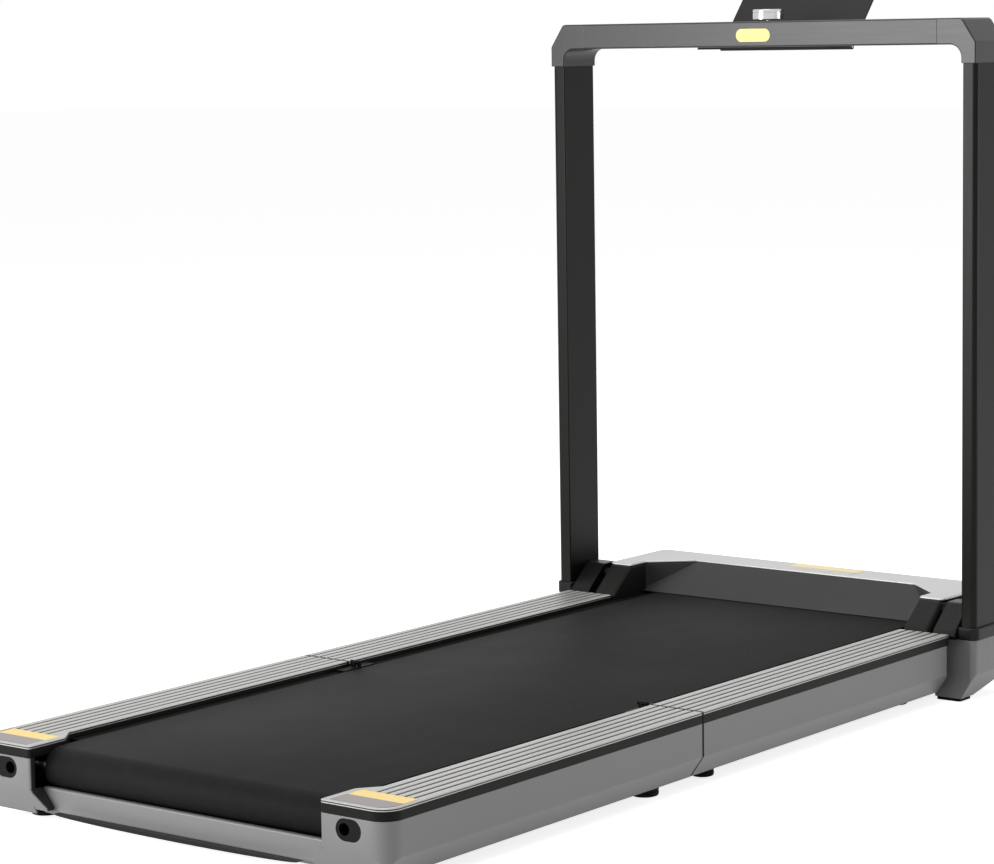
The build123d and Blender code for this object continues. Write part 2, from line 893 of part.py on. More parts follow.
def post():
    z0 = collar_z
    section = block(post_in, post_outer, post_rear, post_front, z0, corner_bottom)
    section = fillet(section.edges().filter_by(Axis.Z).group_by(Axis.X)[-1], post_corner_radius)
    section = fillet(section.edges().filter_by(Axis.Z).group_by(Axis.X)[0], 2.0)
    core = block(
        post_in + post_wall,
        post_outer - post_wall,
        post_rear + post_wall,
        post_front - post_wall,
        z0,
        corner_bottom,
    )
    core = fillet(core.edges().filter_by(Axis.Z).group_by(Axis.X)[-1], post_corner_radius - post_wall)
    return section - core


def post_envelope(z0, z1, grow):
    section = block(
        post_in - grow, post_outer + grow, post_rear - grow, post_front + grow, z0, z1
    )
    section = fillet(section.edges().filter_by(Axis.Z).group_by(Axis.X)[-1], post_corner_radius + grow)
    return fillet(section.edges().filter_by(Axis.Z).group_by(Axis.X)[0], 2.0 + grow / 2)


def collar():
    ring = post_envelope(collar_z, collar_z + collar_height, collar_wall)
    ring = chamfer(ring.faces().sort_by(Axis.Z)[-1].outer_wire().edges(), 1.5)
    hole = block(post_in, post_outer, post_rear, post_front, collar_z - 1, rail_height * 2)
    hole = fillet(hole.edges().filter_by(Axis.Z).group_by(Axis.X)[-1], post_corner_radius)
    hole = fillet(hole.edges().filter_by(Axis.Z).group_by(Axis.X)[0], 2.0)
    return ring - hole


def foot_housing():
    rear = post_rear
    front = rear + foot_front_length
    low = foot_sole_thickness
    profile = [
        (rear, low),
        (rear, collar_z),
        (front - 20, collar_z),
        (front, collar_z - 22),
        (front, low + 34),
        (front - 34, low + 14),
        (rear + 34, low),
    ]
    housing = across(profile, hump_in - 2, post_outer, ((2, 10.0), (3, 12.0), (5, 30.0)))
    knee = rail_height - panel_knee
    cutter = [
        (post_outer + 1, knee + 1),
        (post_outer + 1, low - 1),
        (foot_chamfer_x, low - 1),
        (foot_chamfer_x + 2, low),
        (post_outer, knee),
    ]
    housing -= along(cutter, rear - 1, front + 1)
    upright_edge = housing.edges().filter_by(Axis.Z).sort_by_distance((post_outer, rear, 60))[0]
    return fillet(upright_edge, 9.0)


def foot_sole():
    sole_rear = post_rear + 1
    sole_front = sole_rear + foot_sole_length
    sole = block(hump_in, foot_chamfer_x, sole_rear, sole_front, 0, foot_sole_thickness)
    return fillet(sole.edges().filter_by(Axis.Z), 4.0)


def pivot_cover():
    z0 = collar_z
    top = rail_height + hood_top
    y0 = hood_rear
    profile = [
        (y0, z0),
        (y0, rail_height - 4),
        (y0 + 4, rail_height + 3),
        (y0 + hood_arm_run, top),
        (post_front - 4, top),
        (post_front + 16, z0 + 10),
        (post_front + 16, z0),
    ]
    cover = across(profile, hump_in, hump_out, ((3, 9.0), (4, 20.0)))
    over = [edge for edge in cover.edges() if edge.center().X > hump_out - 0.01]
    over = [edge for edge in over if edge.center().Z > rail_height + 6]
    cover = fillet(over, 6.0)
    return cover - rod_x(hump_in - 1, hump_out + 1, pivot_y, pivot_z, pivot_pin_radius)


def pivot_pin():
    return rod_x(ear_in(), hump_out, pivot_y, pivot_z, pivot_pin_radius)


def crossbar():
    x = post_outer - corner_length
    tube = block(-x, x, bar_rear, bar_front, bar_bottom, bar_top)
    tube = fillet(tube.edges().filter_by(Axis.X), 2.5)
    wall = crossbar_wall
    core = block(
        -x, x, bar_rear + wall, bar_front - wall, bar_bottom + wall, bar_top - wall
    )
    tube -= core
    top_hole = rod_z(0, pivot_y, bar_top - wall - 1, bar_top + 1, knob_shaft_radius + 1.2)
    return tube - top_hole


def corner_casting():
    x0 = post_outer - corner_length
    points = [
        (x0, bar_bottom),
        (x0, bar_top),
        (post_outer - corner_chamfer_x, bar_top),
        (post_outer, bar_top - corner_chamfer_z),
        (post_outer, corner_bottom),
        (post_in - 1, corner_bottom),
        (post_in - 1, bar_bottom),
    ]
    radii = ((2, 8.0), (3, 8.0), (6, corner_fillet))
    casting = along(points, bar_rear, bar_front, radii)
    ends = [e for e in casting.edges() if e.center().X > x0 + 1]
    rims = [e for e in ends if min(abs(e.center().Y - bar_rear), abs(e.center().Y - bar_front)) < 0.01]
    rims = [e for e in rims if e.center().Z > corner_bottom + 1]
    return chamfer(rims, 1.2)


# Console: press-and-turn knob and the tilting tablet rest

def encoder_housing():
    top = bar_top - crossbar_wall
    body = block(-7, 7, pivot_y - 7, pivot_y + 7, top - 10, top)
    return body - rod_z(0, pivot_y, top - 8, top + 1, knob_shaft_radius + 1.2)


def knob_shaft():
    top = bar_top - crossbar_wall
    return rod_z(0, pivot_y, top - 6, bar_top + knob_gap + 8, knob_shaft_radius)


def speed_knob():
    z0 = bar_top + knob_gap
    knob = rod_z(0, pivot_y, z0, z0 + knob_height, knob_radius)
    knob = fillet(knob.edges().sort_by(Axis.Z)[-1], 1.2)
    dish = rod_z(0, pivot_y, z0 + knob_height - 0.5, z0 + knob_height + 1, knob_radius - 3)
    return knob - dish - rod_z(0, pivot_y, z0 - 1, z0 + 8.1, knob_shaft_radius + running_clearance)


def tilt_axis():
    return bar_front + 6.0, bar_bottom - tray_thickness / 2


def tilt_spans(odd):
    """Three knuckles across the tray: the middle one is the panel's, the ends the tray's."""
    half = tray_width / 2
    third = tray_width / 6
    if odd:
        return [(-third, third)]
    return [(-half, -third - knuckle_gap), (third + knuckle_gap, half)]


def tray():
    half = tray_width / 2
    y, z = tilt_axis()
    z1 = bar_bottom
    plate = block(-half, half, bar_rear + 25, y - tilt_barrel_radius - 0.8, z1 - tray_thickness, z1)
    for x0, x1 in tilt_spans(False):
        plate += block(x0, x1, bar_front - 10, y, z1 - tray_thickness, z1)
        plate += rod_x(x0, x1, y, z, tilt_barrel_radius)
    return plate - rod_x(-half - 1, half + 1, y, z, tilt_pin_radius)


def tablet_panel():
    half = tray_width / 2
    y, z = tilt_axis()
    thick = panel_thickness / 2
    sheet = block(-half, half, y - thick, y + thick, z + tilt_barrel_radius + 1.2, z + panel_length)
    sheet = fillet(sheet.edges().filter_by(Axis.Y).group_by(Axis.Z)[-1], 10.0)
    for x0, x1 in tilt_spans(True):
        sheet += block(x0, x1, y - thick, y + thick, z, z + tilt_barrel_radius + 2)
        sheet += rod_x(x0, x1, y, z, tilt_barrel_radius)
    sheet -= rod_x(-half, half, y, z, tilt_pin_radius + running_clearance)
    return Pos(0, y, z) * Rot(-panel_lean, 0, 0) * Pos(0, -y, -z) * sheet


def tilt_pin():
    half = tray_width / 2
    y, z = tilt_axis()
    return rod_x(-half, half, y, z, tilt_pin_radius)


# Transport wheels under the front of the hood

def ear_in():
    return fork_out() - ear_thickness - 5


def fork_out():
    return hood_out - hood_wall - 3


def wheel_spot():
    return front_end - wheel_y_from_front, wheel_radius + wheel_lift


def wheel():
    y, z = wheel_spot()
    x0 = (beam_in + fork_out() - wheel_width) / 2
    body = rod_x(x0, x0 + wheel_width, y, z, wheel_radius)
    body = fillet(body.edges(), 3.0)
    return body - rod_x(x0 - 1, x0 + wheel_width + 1, y, z, wheel_axle_radius + running_clearance)


def wheel_axle():
    y, z = wheel_spot()
    return rod_x(beam_in, fork_out() + 2, y, z, wheel_axle_radius)


save_pair("rear_foot_rail", rear_rail())
save_pair("front_foot_rail", front_rail())
save_pair("rear_rail_trim", rear_trim())
save_pair("front_rail_trim", front_trim())
save_pair("rear_side_panel", rear_side_panel())
save_pair("front_side_panel", front_side_panel())
save("rear_frame", rear_frame())
save("front_frame", front_frame())
save("rear_deck_board", rear_board())
save("front_deck_board", board(seam_y + seam_gap / 2, front_roller_y - 25))
save("rear_belt_half", belt_half(rear_roller_y, seam_y - 0.25, 1))
save("front_belt_half", belt_half(front_roller_y, seam_y + 0.25, -1))
save("rear_roller", roller(rear_roller_y))
save("rear_roller_axle", rear_axle())
save("front_roller", roller(front_roller_y))
save("front_roller_axle", axle(front_roller_y, beam_in + axle_reach))
save("roller_pulley", roller_pulley())
save("motor_pulley", motor_pulley())
save("motor", motor())
save("drive_belt", drive_belt())
save("motor_controller", controller())
save("rear_cross_cover", rear_cross_cover())
save("rear_belly_pan", belly_pan(pan_half, rear_end + cap_length + cap_diagonal + 9, seam_y - 4))
pan_front = belly_pan(pan_half, seam_y + 4, front_rail_end - 3)
pan_front += belly_pan(hood_out - hood_wall - 0.5, hood_rear - 30, front_end - 52)
save("front_belly_pan", pan_front)
tail_spot = (rail_out - tail_foot_inset, rear_end + tail_foot_y, foot_radius)
rear_spot = (side_foot_x, seam_y - seam_foot_rear, foot_radius)
save("rear_deck_feet", group(feet([tail_spot], beam_bottom), feet([rear_spot], pan_z)))
seam_spot = (side_foot_x, seam_y + seam_foot_front, small_foot_radius)
hood_spot = (rail_out - hood_foot_inset, hood_rear - hood_foot_gap, small_foot_radius)
save("front_deck_feet", feet([seam_spot, hood_spot], pan_z))
save("belt_tension_bolts", group(tension_bolt(), left(tension_bolt())))
save("bolt_bezels", group(bolt_bezel(), left(bolt_bezel())))
front_leaf = hinge_leaf((0, 2), 1) - hinge_bore(0.0)
rear_leaf = hinge_leaf((1,), -1) - hinge_bore(running_clearance)
save("fold_hinge_front_leaves", group(front_leaf, left(front_leaf)))
save("fold_hinge_rear_leaves", group(rear_leaf, left(rear_leaf)))
save("fold_hinge_pins", group(hinge_pin(), left(hinge_pin())))
save("motor_hood", motor_hood())
save("hood_top_plate", hood_top_plate())
save("power_inlet", power_inlet())
save("power_rocker", power_rocker())
save_pair("handle_post", post())
save("post_collars", group(collar(), left(collar())))
save_pair("foot_housing", foot_housing())
save("foot_soles", group(foot_sole(), left(foot_sole())))
save("pivot_covers", group(pivot_cover(), left(pivot_cover())))
save("frame_pivot_pins", group(pivot_pin(), left(pivot_pin())))
save("crossbar", crossbar())
save("corner_castings", group(corner_casting(), left(corner_casting())))
save("knob_encoder", encoder_housing())
save("knob_shaft", knob_shaft())
save("speed_knob", speed_knob())
save("tablet_rest_tray", tray())
save("tablet_rest_panel", tablet_panel())
save("tilt_pin", tilt_pin())
save_pair("transport_wheel", wheel())
save("wheel_axles", group(wheel_axle(), left(wheel_axle())))
print("nodes", len(os.listdir("parts")))
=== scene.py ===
import bpy
import json
import math
from mathutils import Matrix, Vector


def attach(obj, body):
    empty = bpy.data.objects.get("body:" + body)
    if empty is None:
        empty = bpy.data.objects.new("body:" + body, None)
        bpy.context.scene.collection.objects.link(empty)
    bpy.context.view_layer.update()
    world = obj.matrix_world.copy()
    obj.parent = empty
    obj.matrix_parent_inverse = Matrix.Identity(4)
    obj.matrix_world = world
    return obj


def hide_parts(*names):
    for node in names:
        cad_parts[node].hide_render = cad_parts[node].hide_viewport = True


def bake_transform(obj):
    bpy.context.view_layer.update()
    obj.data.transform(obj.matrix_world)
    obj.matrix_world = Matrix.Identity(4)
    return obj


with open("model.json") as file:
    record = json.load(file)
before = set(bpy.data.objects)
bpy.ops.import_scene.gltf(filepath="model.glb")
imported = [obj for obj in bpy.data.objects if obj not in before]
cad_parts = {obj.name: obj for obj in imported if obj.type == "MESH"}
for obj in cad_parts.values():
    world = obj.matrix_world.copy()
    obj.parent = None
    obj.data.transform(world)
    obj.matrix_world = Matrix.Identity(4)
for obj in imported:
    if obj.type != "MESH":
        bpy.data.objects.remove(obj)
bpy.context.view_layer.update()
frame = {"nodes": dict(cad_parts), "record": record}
nodes = frame["nodes"]
print("stage: frame loaded")

scene = bpy.context.scene
scene.view_settings.view_transform = "Standard"


def deselectAll():
    for thing in bpy.context.selected_objects:
        thing.select_set(False)


def pickOnly(thing):
    deselectAll()
    thing.select_set(True)
    bpy.context.view_layer.objects.active = thing


def applyAll(thing):
    pickOnly(thing)
    for modifier in list(thing.modifiers):
        bpy.ops.object.modifier_apply(modifier=modifier.name)


def settle(thing, name):
    # the finished piece sits at the origin, with its place in its mesh
    pickOnly(thing)
    bpy.ops.object.transform_apply(location=True, rotation=True, scale=True)
    thing.name = name
    thing.data.name = name
    return thing


def rgb(red, green, blue):
    # screen colour 0 to 255 to the linear value a shader wants
    def linear(value):
        value /= 255
        return value / 12.92 if value <= 0.04045 else ((value + 0.055) / 1.055) ** 2.4
    return (linear(red), linear(green), linear(blue), 1.0)


def editAll():
    bpy.ops.object.mode_set(mode="EDIT")
    bpy.ops.mesh.select_all(action="SELECT")


def objectMode():
    bpy.ops.object.mode_set(mode="OBJECT")


def pointOutwards():
    # called in edit mode on a closed shell; ends in object mode
    bpy.ops.mesh.select_all(action="SELECT")
    bpy.ops.mesh.normals_make_consistent(inside=False)
    objectMode()


def pushOut(step):
    # extrudes what is selected in edit mode along one step
    bpy.ops.mesh.extrude_region_move(TRANSFORM_OT_translate={"value": step})


def pickVertices(thing, test):
    # called in edit mode; leaves only the vertices that pass the test selected
    bpy.ops.mesh.select_all(action="DESELECT")
    objectMode()
    for vertex in thing.data.vertices:
        vertex.select = test(vertex.co)
    bpy.ops.object.mode_set(mode="EDIT")


def smoothed(thing, degrees):
    pickOnly(thing)
    bpy.ops.object.shade_smooth_by_angle(angle=math.radians(degrees))


def paint(thing, material):
    thing.data.materials.clear()
    thing.data.materials.append(material)


def mount(thing, body, slotName, material, *replaced):
    paint(thing, material)
    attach(thing, body)
    if replaced:
        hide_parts(*replaced)


def turned(name, rings, vertices=40, spot=(0, 0, 0), turn=(0, 0, 0), degrees=32):
    # a filled circle extruded and resized ring by ring, as on a lathe
    deselectAll()
    radius, height = rings[0]
    bpy.ops.mesh.primitive_circle_add(
        vertices=vertices, radius=radius, fill_type="NGON", location=(0, 0, 0))
    piece = bpy.context.object
    editAll()
    bpy.ops.transform.translate(value=(0, 0, height))
    for nextRadius, nextHeight in rings[1:]:
        pushOut((0, 0, nextHeight - height))
        ratio = nextRadius / radius
        bpy.ops.transform.resize(value=(ratio, ratio, 1))
        radius, height = nextRadius, nextHeight
    pointOutwards()
    piece.location = spot
    piece.rotation_euler = turn
    smoothed(piece, degrees)
    return settle(piece, name)


def joined(things):
    deselectAll()
    for thing in things:
        thing.select_set(True)
    bpy.context.view_layer.objects.active = things[0]
    bpy.ops.object.join()
    return bpy.context.object


def scattered(piece, spots, name, turn=(0, 0, 0)):
    # the piece was modelled once at the origin; each spot gets a copy with its own mesh
    twins = []
    for spot in spots:
        pickOnly(piece)
        bpy.ops.object.duplicate(linked=False)
        twin = bpy.context.object
        twin.location = spot
        twin.rotation_euler = turn
        twins.append(twin)
    pickOnly(piece)
    bpy.ops.object.delete()
    return settle(joined(twins), name)


def slab(size, spot, rounding=0.0):
    # a box of the given size, its edges rounded
    deselectAll()
    bpy.ops.mesh.primitive_cube_add(size=1, location=spot)
    piece = bpy.context.object
    piece.scale = size
    bpy.ops.object.transform_apply(location=True, rotation=False, scale=True)
    if rounding:
        editAll()
        bpy.ops.mesh.bevel(offset=rounding, segments=3, affect="EDGES")
        objectMode()
    return piece


def cutAway(thing, cutter):
    knife = thing.modifiers.new("cut", "BOOLEAN")
    knife.operation = "DIFFERENCE"
    knife.solver = "EXACT"
    knife.object = cutter
    applyAll(thing)
    pickOnly(cutter)
    bpy.ops.object.delete()


def inRow(thing, count, step):
    # repeats the piece along X
    row = thing.modifiers.new("row", "ARRAY")
    row.count = count
    row.use_relative_offset = False
    row.use_constant_offset = True
    row.constant_offset_displace = (step, 0, 0)
    applyAll(thing)


# Shader nodes that the materials and the shared effects are built from

colourSockets = dict(first=6, second=7, result=2)  # a Mix node's own numbers for its colours


def maths(tree, operation, *values):
    # each value is a number or another node's output
    node = tree.nodes.new("ShaderNodeMath")
    node.operation = operation
    for socket, value in zip(node.inputs, values):
        if isinstance(value, float):
            socket.default_value = value
        else:
            tree.links.new(value, socket)
    return node.outputs["Value"]


def mixColour(tree, factor, first, second):
    node = tree.nodes.new("ShaderNodeMix")
    node.data_type = "RGBA"
    tree.links.new(factor, node.inputs["Factor"])
    for which, value in (("first", first), ("second", second)):
        socket = node.inputs[colourSockets[which]]
        if isinstance(value, tuple):
            socket.default_value = value
        else:
            tree.links.new(value, socket)
    return node.outputs[colourSockets["result"]]


def mapRange(tree, value, low, high, fromLow=0.0, fromHigh=1.0):
    node = tree.nodes.new("ShaderNodeMapRange")
    node.inputs["From Min"].default_value = fromLow
    node.inputs["From Max"].default_value = fromHigh
    node.inputs["To Min"].default_value = low
    node.inputs["To Max"].default_value = high
    tree.links.new(value, node.inputs["Value"])
    return node.outputs["Result"]


def axes(tree, vector):
    split = tree.nodes.new("ShaderNodeSeparateXYZ")
    tree.links.new(vector, split.inputs["Vector"])
    return split.outputs


def bump(tree, height, strength, distance):
    node = tree.nodes.new("ShaderNodeBump")
    node.inputs["Strength"].default_value = strength
    node.inputs["Distance"].default_value = distance
    tree.links.new(height, node.inputs["Height"])
    return node.outputs["Normal"]


def beyond(tree, value, edge, blur):
    # 1 where the value's distance from zero is past the edge
    return mapRange(tree, maths(tree, "ABSOLUTE", value), 0.0, 1.0, edge - blur, edge + blur)


# Shared shader effects

def newGroup(name, inputs, outputs):
    group = bpy.data.node_groups.new(name, "ShaderNodeTree")
    for label, kind, value in inputs:
        socket = group.interface.new_socket(name=label, in_out="INPUT", socket_type=kind)
        if value is not None:
            socket.default_value = value
    for label, kind in outputs:
        group.interface.new_socket(name=label, in_out="OUTPUT", socket_type=kind)
    return group, group.nodes.new("NodeGroupInput"), group.nodes.new("NodeGroupOutput")


def buildGrain():
    # moulded or powder-coated grain: height, plus a broad mottling value round 0.5
    group, inlet, outlet = newGroup(
        "mouldGrain",
        [("Coord", "NodeSocketVector", None), ("Size", "NodeSocketFloat", 900.0),
         ("Mottle Size", "NodeSocketFloat", 6.0)],
        [("Height", "NodeSocketFloat"), ("Mottle", "NodeSocketFloat")])
    links = group.links
    fine = group.nodes.new("ShaderNodeTexNoise")
    fine.inputs["Detail"].default_value = 3.0
    links.new(inlet.outputs["Coord"], fine.inputs["Vector"])
    links.new(inlet.outputs["Size"], fine.inputs["Scale"])
    broad = group.nodes.new("ShaderNodeTexNoise")
    broad.inputs["Detail"].default_value = 4.0
    broad.inputs["Roughness"].default_value = 0.6
    links.new(inlet.outputs["Coord"], broad.inputs["Vector"])
    links.new(inlet.outputs["Mottle Size"], broad.inputs["Scale"])
    links.new(fine.outputs["Fac"], outlet.inputs["Height"])
    links.new(broad.outputs["Fac"], outlet.inputs["Mottle"])
    return group


def buildBrushed():
    # drawn or extruded metal: long streaks along the stretched axis
    group, inlet, outlet = newGroup(
        "drawnStreaks",
        [("Coord", "NodeSocketVector", None), ("Stretch", "NodeSocketVector", (1, 1, 1)),
         ("Size", "NodeSocketFloat", 600.0)],
        [("Height", "NodeSocketFloat")])
    links = group.links
    scale = group.nodes.new("ShaderNodeVectorMath")
    scale.operation = "MULTIPLY"
    links.new(inlet.outputs["Coord"], scale.inputs[0])
    links.new(inlet.outputs["Stretch"], scale.inputs[1])
    streak = group.nodes.new("ShaderNodeTexNoise")
    streak.inputs["Detail"].default_value = 2.0
    links.new(scale.outputs["Vector"], streak.inputs["Vector"])
    links.new(inlet.outputs["Size"], streak.inputs["Scale"])
    links.new(streak.outputs["Fac"], outlet.inputs["Height"])
    return group


def buildDust():
    # faint settled dust on faces that look up, broken up by noise
    group, inlet, outlet = newGroup(
        "settledDust",
        [("Coord", "NodeSocketVector", None), ("Amount", "NodeSocketFloat", 0.1)],
        [("Mask", "NodeSocketFloat")])
    links = group.links
    facing = group.nodes.new("ShaderNodeNewGeometry")
    upward = mapRange(group, axes(group, facing.outputs["Normal"])["Z"], 0.0, 1.0, 0.6)
    patch = group.nodes.new("ShaderNodeTexNoise")
    patch.inputs["Scale"].default_value = 9.0
    patch.inputs["Detail"].default_value = 5.0
    links.new(inlet.outputs["Coord"], patch.inputs["Vector"])
    broken = maths(group, "MULTIPLY", upward, patch.outputs["Fac"])
    links.new(maths(group, "MULTIPLY", broken, inlet.outputs["Amount"]), outlet.inputs["Mask"])
    return group


grainGroup = buildGrain()
brushedGroup = buildBrushed()
dustGroup = buildDust()


def place(tree, group, coord, **values):
    node = tree.nodes.new("ShaderNodeGroup")
    node.node_tree = group
    for label, value in values.items():
        node.inputs[label.replace("_", " ")].default_value = value
    tree.links.new(coord, node.inputs["Coord"])
    return node


def blankMaterial(name, specular=0.5, metallic=0.0, coat=0.0):
    material = bpy.data.materials.new(name)
    material.use_nodes = True
    tree = material.node_tree
    shader = tree.nodes["Principled BSDF"]
    shader.inputs["Specular IOR Level"].default_value = specular
    shader.inputs["Metallic"].default_value = metallic
    shader.inputs["Coat Weight"].default_value = coat
    coord = tree.nodes.new("ShaderNodeTexCoord").outputs["Object"]
    return material, tree, shader, coord


def wire(tree, shader, colour, roughness, normal):
    tree.links.new(colour, shader.inputs["Base Color"])
    tree.links.new(roughness, shader.inputs["Roughness"])
    tree.links.new(normal, shader.inputs["Normal"])


def shades(colour, vary):
    # a darker and a lighter neighbour of the colour
    dark = tuple(channel * (1 - vary) for channel in colour[:3]) + (1.0,)
    light = tuple(min(1, channel * (1 + vary)) for channel in colour[:3]) + (1.0,)
    return dark, light


finishes = {
    "railLight": rgb(190, 190, 187),
    "railDark": rgb(160, 160, 157),
    # painted shade on the rail's groove floors
    "railGrooveShade": rgb(34, 34, 34),
    # painted shade in the fold gap, on the rails
    "railFoldShade": rgb(24, 24, 24),
    "trimBlack": rgb(20, 20, 18),
    "panelGrey": rgb(122, 122, 122),
    # painted shade in the fold gap, on the panels
    "panelFoldShade": rgb(14, 14, 14),
    # the rear caps' inner faces: their darker inside with painted shade of the cavity
    "capInsideShade": rgb(44, 44, 44),
    "beltDark": rgb(18, 18, 18),
    "beltLight": rgb(23, 23, 23),
    "beltScuff": rgb(28, 28, 28),
    "hoodBlack": rgb(58, 58, 58),
    "hoodArm": rgb(24, 24, 23),
    "hoodSilver": rgb(198, 198, 198),
    "postMetal": rgb(14, 14, 12),
    "crossbarMetal": rgb(38, 38, 38),
    "humpBlack": rgb(10, 10, 10),
    "steelBlack": rgb(16, 16, 16),
    "turnedSteel": rgb(170, 172, 174),
    "pulleySteel": rgb(165, 165, 165),
    "motorGrey": rgb(52, 52, 54),
    "driveBlack": rgb(24, 24, 24),
    "heatSink": rgb(120, 122, 124),
    "coverBlack": rgb(24, 24, 24),
    "padRubber": rgb(20, 20, 20),
    "wheelRubber": rgb(30, 30, 30),
    "hubGrey": rgb(92, 93, 95),
    "rockerRed": rgb(150, 22, 20),
    "consoleBlack": rgb(30, 30, 30),
    "chrome": rgb(205, 204, 205),
    "spunChrome": rgb(190, 191, 192),
    "board": rgb(7, 7, 6),
    "hingeBlack": rgb(11, 11, 11),
    "bezelBlack": rgb(11, 11, 11),
    "labelYellow": rgb(238, 206, 116),
    "labelGrey": rgb(124, 115, 114),
    "hoodLabelYellow": rgb(248, 226, 160),
    "hoodLabelGrey": rgb(190, 184, 172),
    "badgeYellow": rgb(238, 216, 118),
    "dust": rgb(150, 148, 144),
}

foldY = -0.103  # where the deck's halves meet
# painted shade along the fold gap between the deck halves
foldShadeReach = dict(full=0.0020, none=0.0024)  # distance from the fold where its darkening ends
hoodArmX = 0.2500
capInsideShade = dict(halfWidth=0.2326, kneeZ=0.0410, lean=0.4286, behind=(-0.6948, -0.6943))


def foldShadeMask(tree, value):
    # 1 beside the fold between the deck halves, where painted shade darkens the gap's edge faces
    distance = maths(tree, "ABSOLUTE", maths(tree, "ADD", value, -foldY))
    return mapRange(tree, distance, 1.0, 0.0, foldShadeReach["full"], foldShadeReach["none"])


def capInsideMask(tree, spot):
    # 1 on the inner faces of the rear caps, behind the rear face, which leans in below the knee; the darker
    # grey there is partly the unpainted inside's tone and partly painted shade in the cavity
    low = maths(tree, "MINIMUM", spot["Z"], capInsideShade["kneeZ"])
    depth = maths(tree, "MULTIPLY_ADD", low, capInsideShade["lean"], spot["Y"])
    towardsMiddle = maths(tree, "SUBTRACT", 1.0, beyond(tree, spot["X"], capInsideShade["halfWidth"], 0.0004))
    return maths(tree, "MULTIPLY", towardsMiddle, mapRange(tree, depth, 0.0, 1.0, *capInsideShade["behind"]))


def mouldedPlastic(name, colour, settings):
    # grain bump, slight mottling of colour and gloss, a little dust on top
    look = dict(specular=0.35, metallic=0.0, coat=0.0, rough=(0.38, 0.5), grain=900.0, bump=0.12,
                vary=0.14, dust=0.02, outer=None, seam=False, inner=None)
    look.update(settings)
    material, tree, shader, coord = blankMaterial(name, look["specular"], look["metallic"], look["coat"])
    grain = place(tree, grainGroup, coord, Size=look["grain"])
    base = mixColour(tree, grain.outputs["Mottle"], *shades(colour, look["vary"]))
    if look["outer"] or look["seam"] or look["inner"]:
        spot = axes(tree, coord)
    if look["outer"]:
        # the hood's arms, outside the belt, are darker than its middle
        base = mixColour(tree, beyond(tree, spot["X"], hoodArmX, 0.0004), base, look["outer"])
    if look["seam"]:
        # painted shade on the panel's edge faces in the fold gap
        base = mixColour(tree, foldShadeMask(tree, spot["Y"]), base, finishes["panelFoldShade"])
    if look["inner"]:
        # painted shade, with the inside's own darker tone, on the rear caps' inner faces
        base = mixColour(tree, capInsideMask(tree, spot), base, look["inner"])
    dust = place(tree, dustGroup, coord, Amount=look["dust"])
    dusty = mixColour(tree, dust.outputs["Mask"], base, finishes["dust"])
    wire(tree, shader, dusty, mapRange(tree, grain.outputs["Mottle"], *look["rough"]),
         bump(tree, grain.outputs["Height"], look["bump"], 0.0004))
    return material


def drawnMetal(name, colour, settings):
    # anodised or turned metal with streaks along one axis
    look = dict(specular=0.5, metallic=0.8, rough=(0.28, 0.42), stretch=(1, 0.01, 1), size=700.0,
                bump=0.06, vary=0.07, coat=0.0)
    look.update(settings)
    material, tree, shader, coord = blankMaterial(name, look["specular"], look["metallic"], look["coat"])
    streak = place(tree, brushedGroup, coord, Stretch=look["stretch"], Size=look["size"])
    base = mixColour(tree, streak.outputs["Height"], *shades(colour, look["vary"]))
    wire(tree, shader, base, mapRange(tree, streak.outputs["Height"], *look["rough"]),
         bump(tree, streak.outputs["Height"], look["bump"], 0.0002))
    return material


def beltRubber():
    # small lozenge emboss, faint scuffs along the run
    emboss = dict(angle=32, size=95.0, strength=0.35, depth=0.0003)
    material, tree, shader, coord = blankMaterial("beltRubber", 0.07)
    diagonals = []
    for angle in (emboss["angle"], -emboss["angle"]):
        turn = tree.nodes.new("ShaderNodeMapping")
        turn.inputs["Rotation"].default_value = (0, 0, math.radians(angle))
        tree.links.new(coord, turn.inputs["Vector"])
        wave = tree.nodes.new("ShaderNodeTexWave")
        wave.bands_direction = "X"
        wave.inputs["Scale"].default_value = emboss["size"]
        tree.links.new(turn.outputs["Vector"], wave.inputs["Vector"])
        diagonals.append(wave.outputs["Fac"])
    lozenge = maths(tree, "MULTIPLY", *diagonals)
    streak = place(tree, brushedGroup, coord, Stretch=(1, 0.05, 1), Size=55.0)
    grain = place(tree, grainGroup, coord, Size=650.0, Mottle_Size=5.0)
    base = mixColour(tree, grain.outputs["Mottle"], finishes["beltDark"], finishes["beltLight"])
    scuffs = mapRange(tree, streak.outputs["Height"], 0.0, 0.5, 0.5, 0.8)
    height = maths(tree, "ADD", lozenge, grain.outputs["Height"])
    wire(tree, shader, mixColour(tree, scuffs, base, finishes["beltScuff"]),
         mapRange(tree, grain.outputs["Mottle"], 0.55, 0.7),
         bump(tree, height, emboss["strength"], emboss["depth"]))
    return material


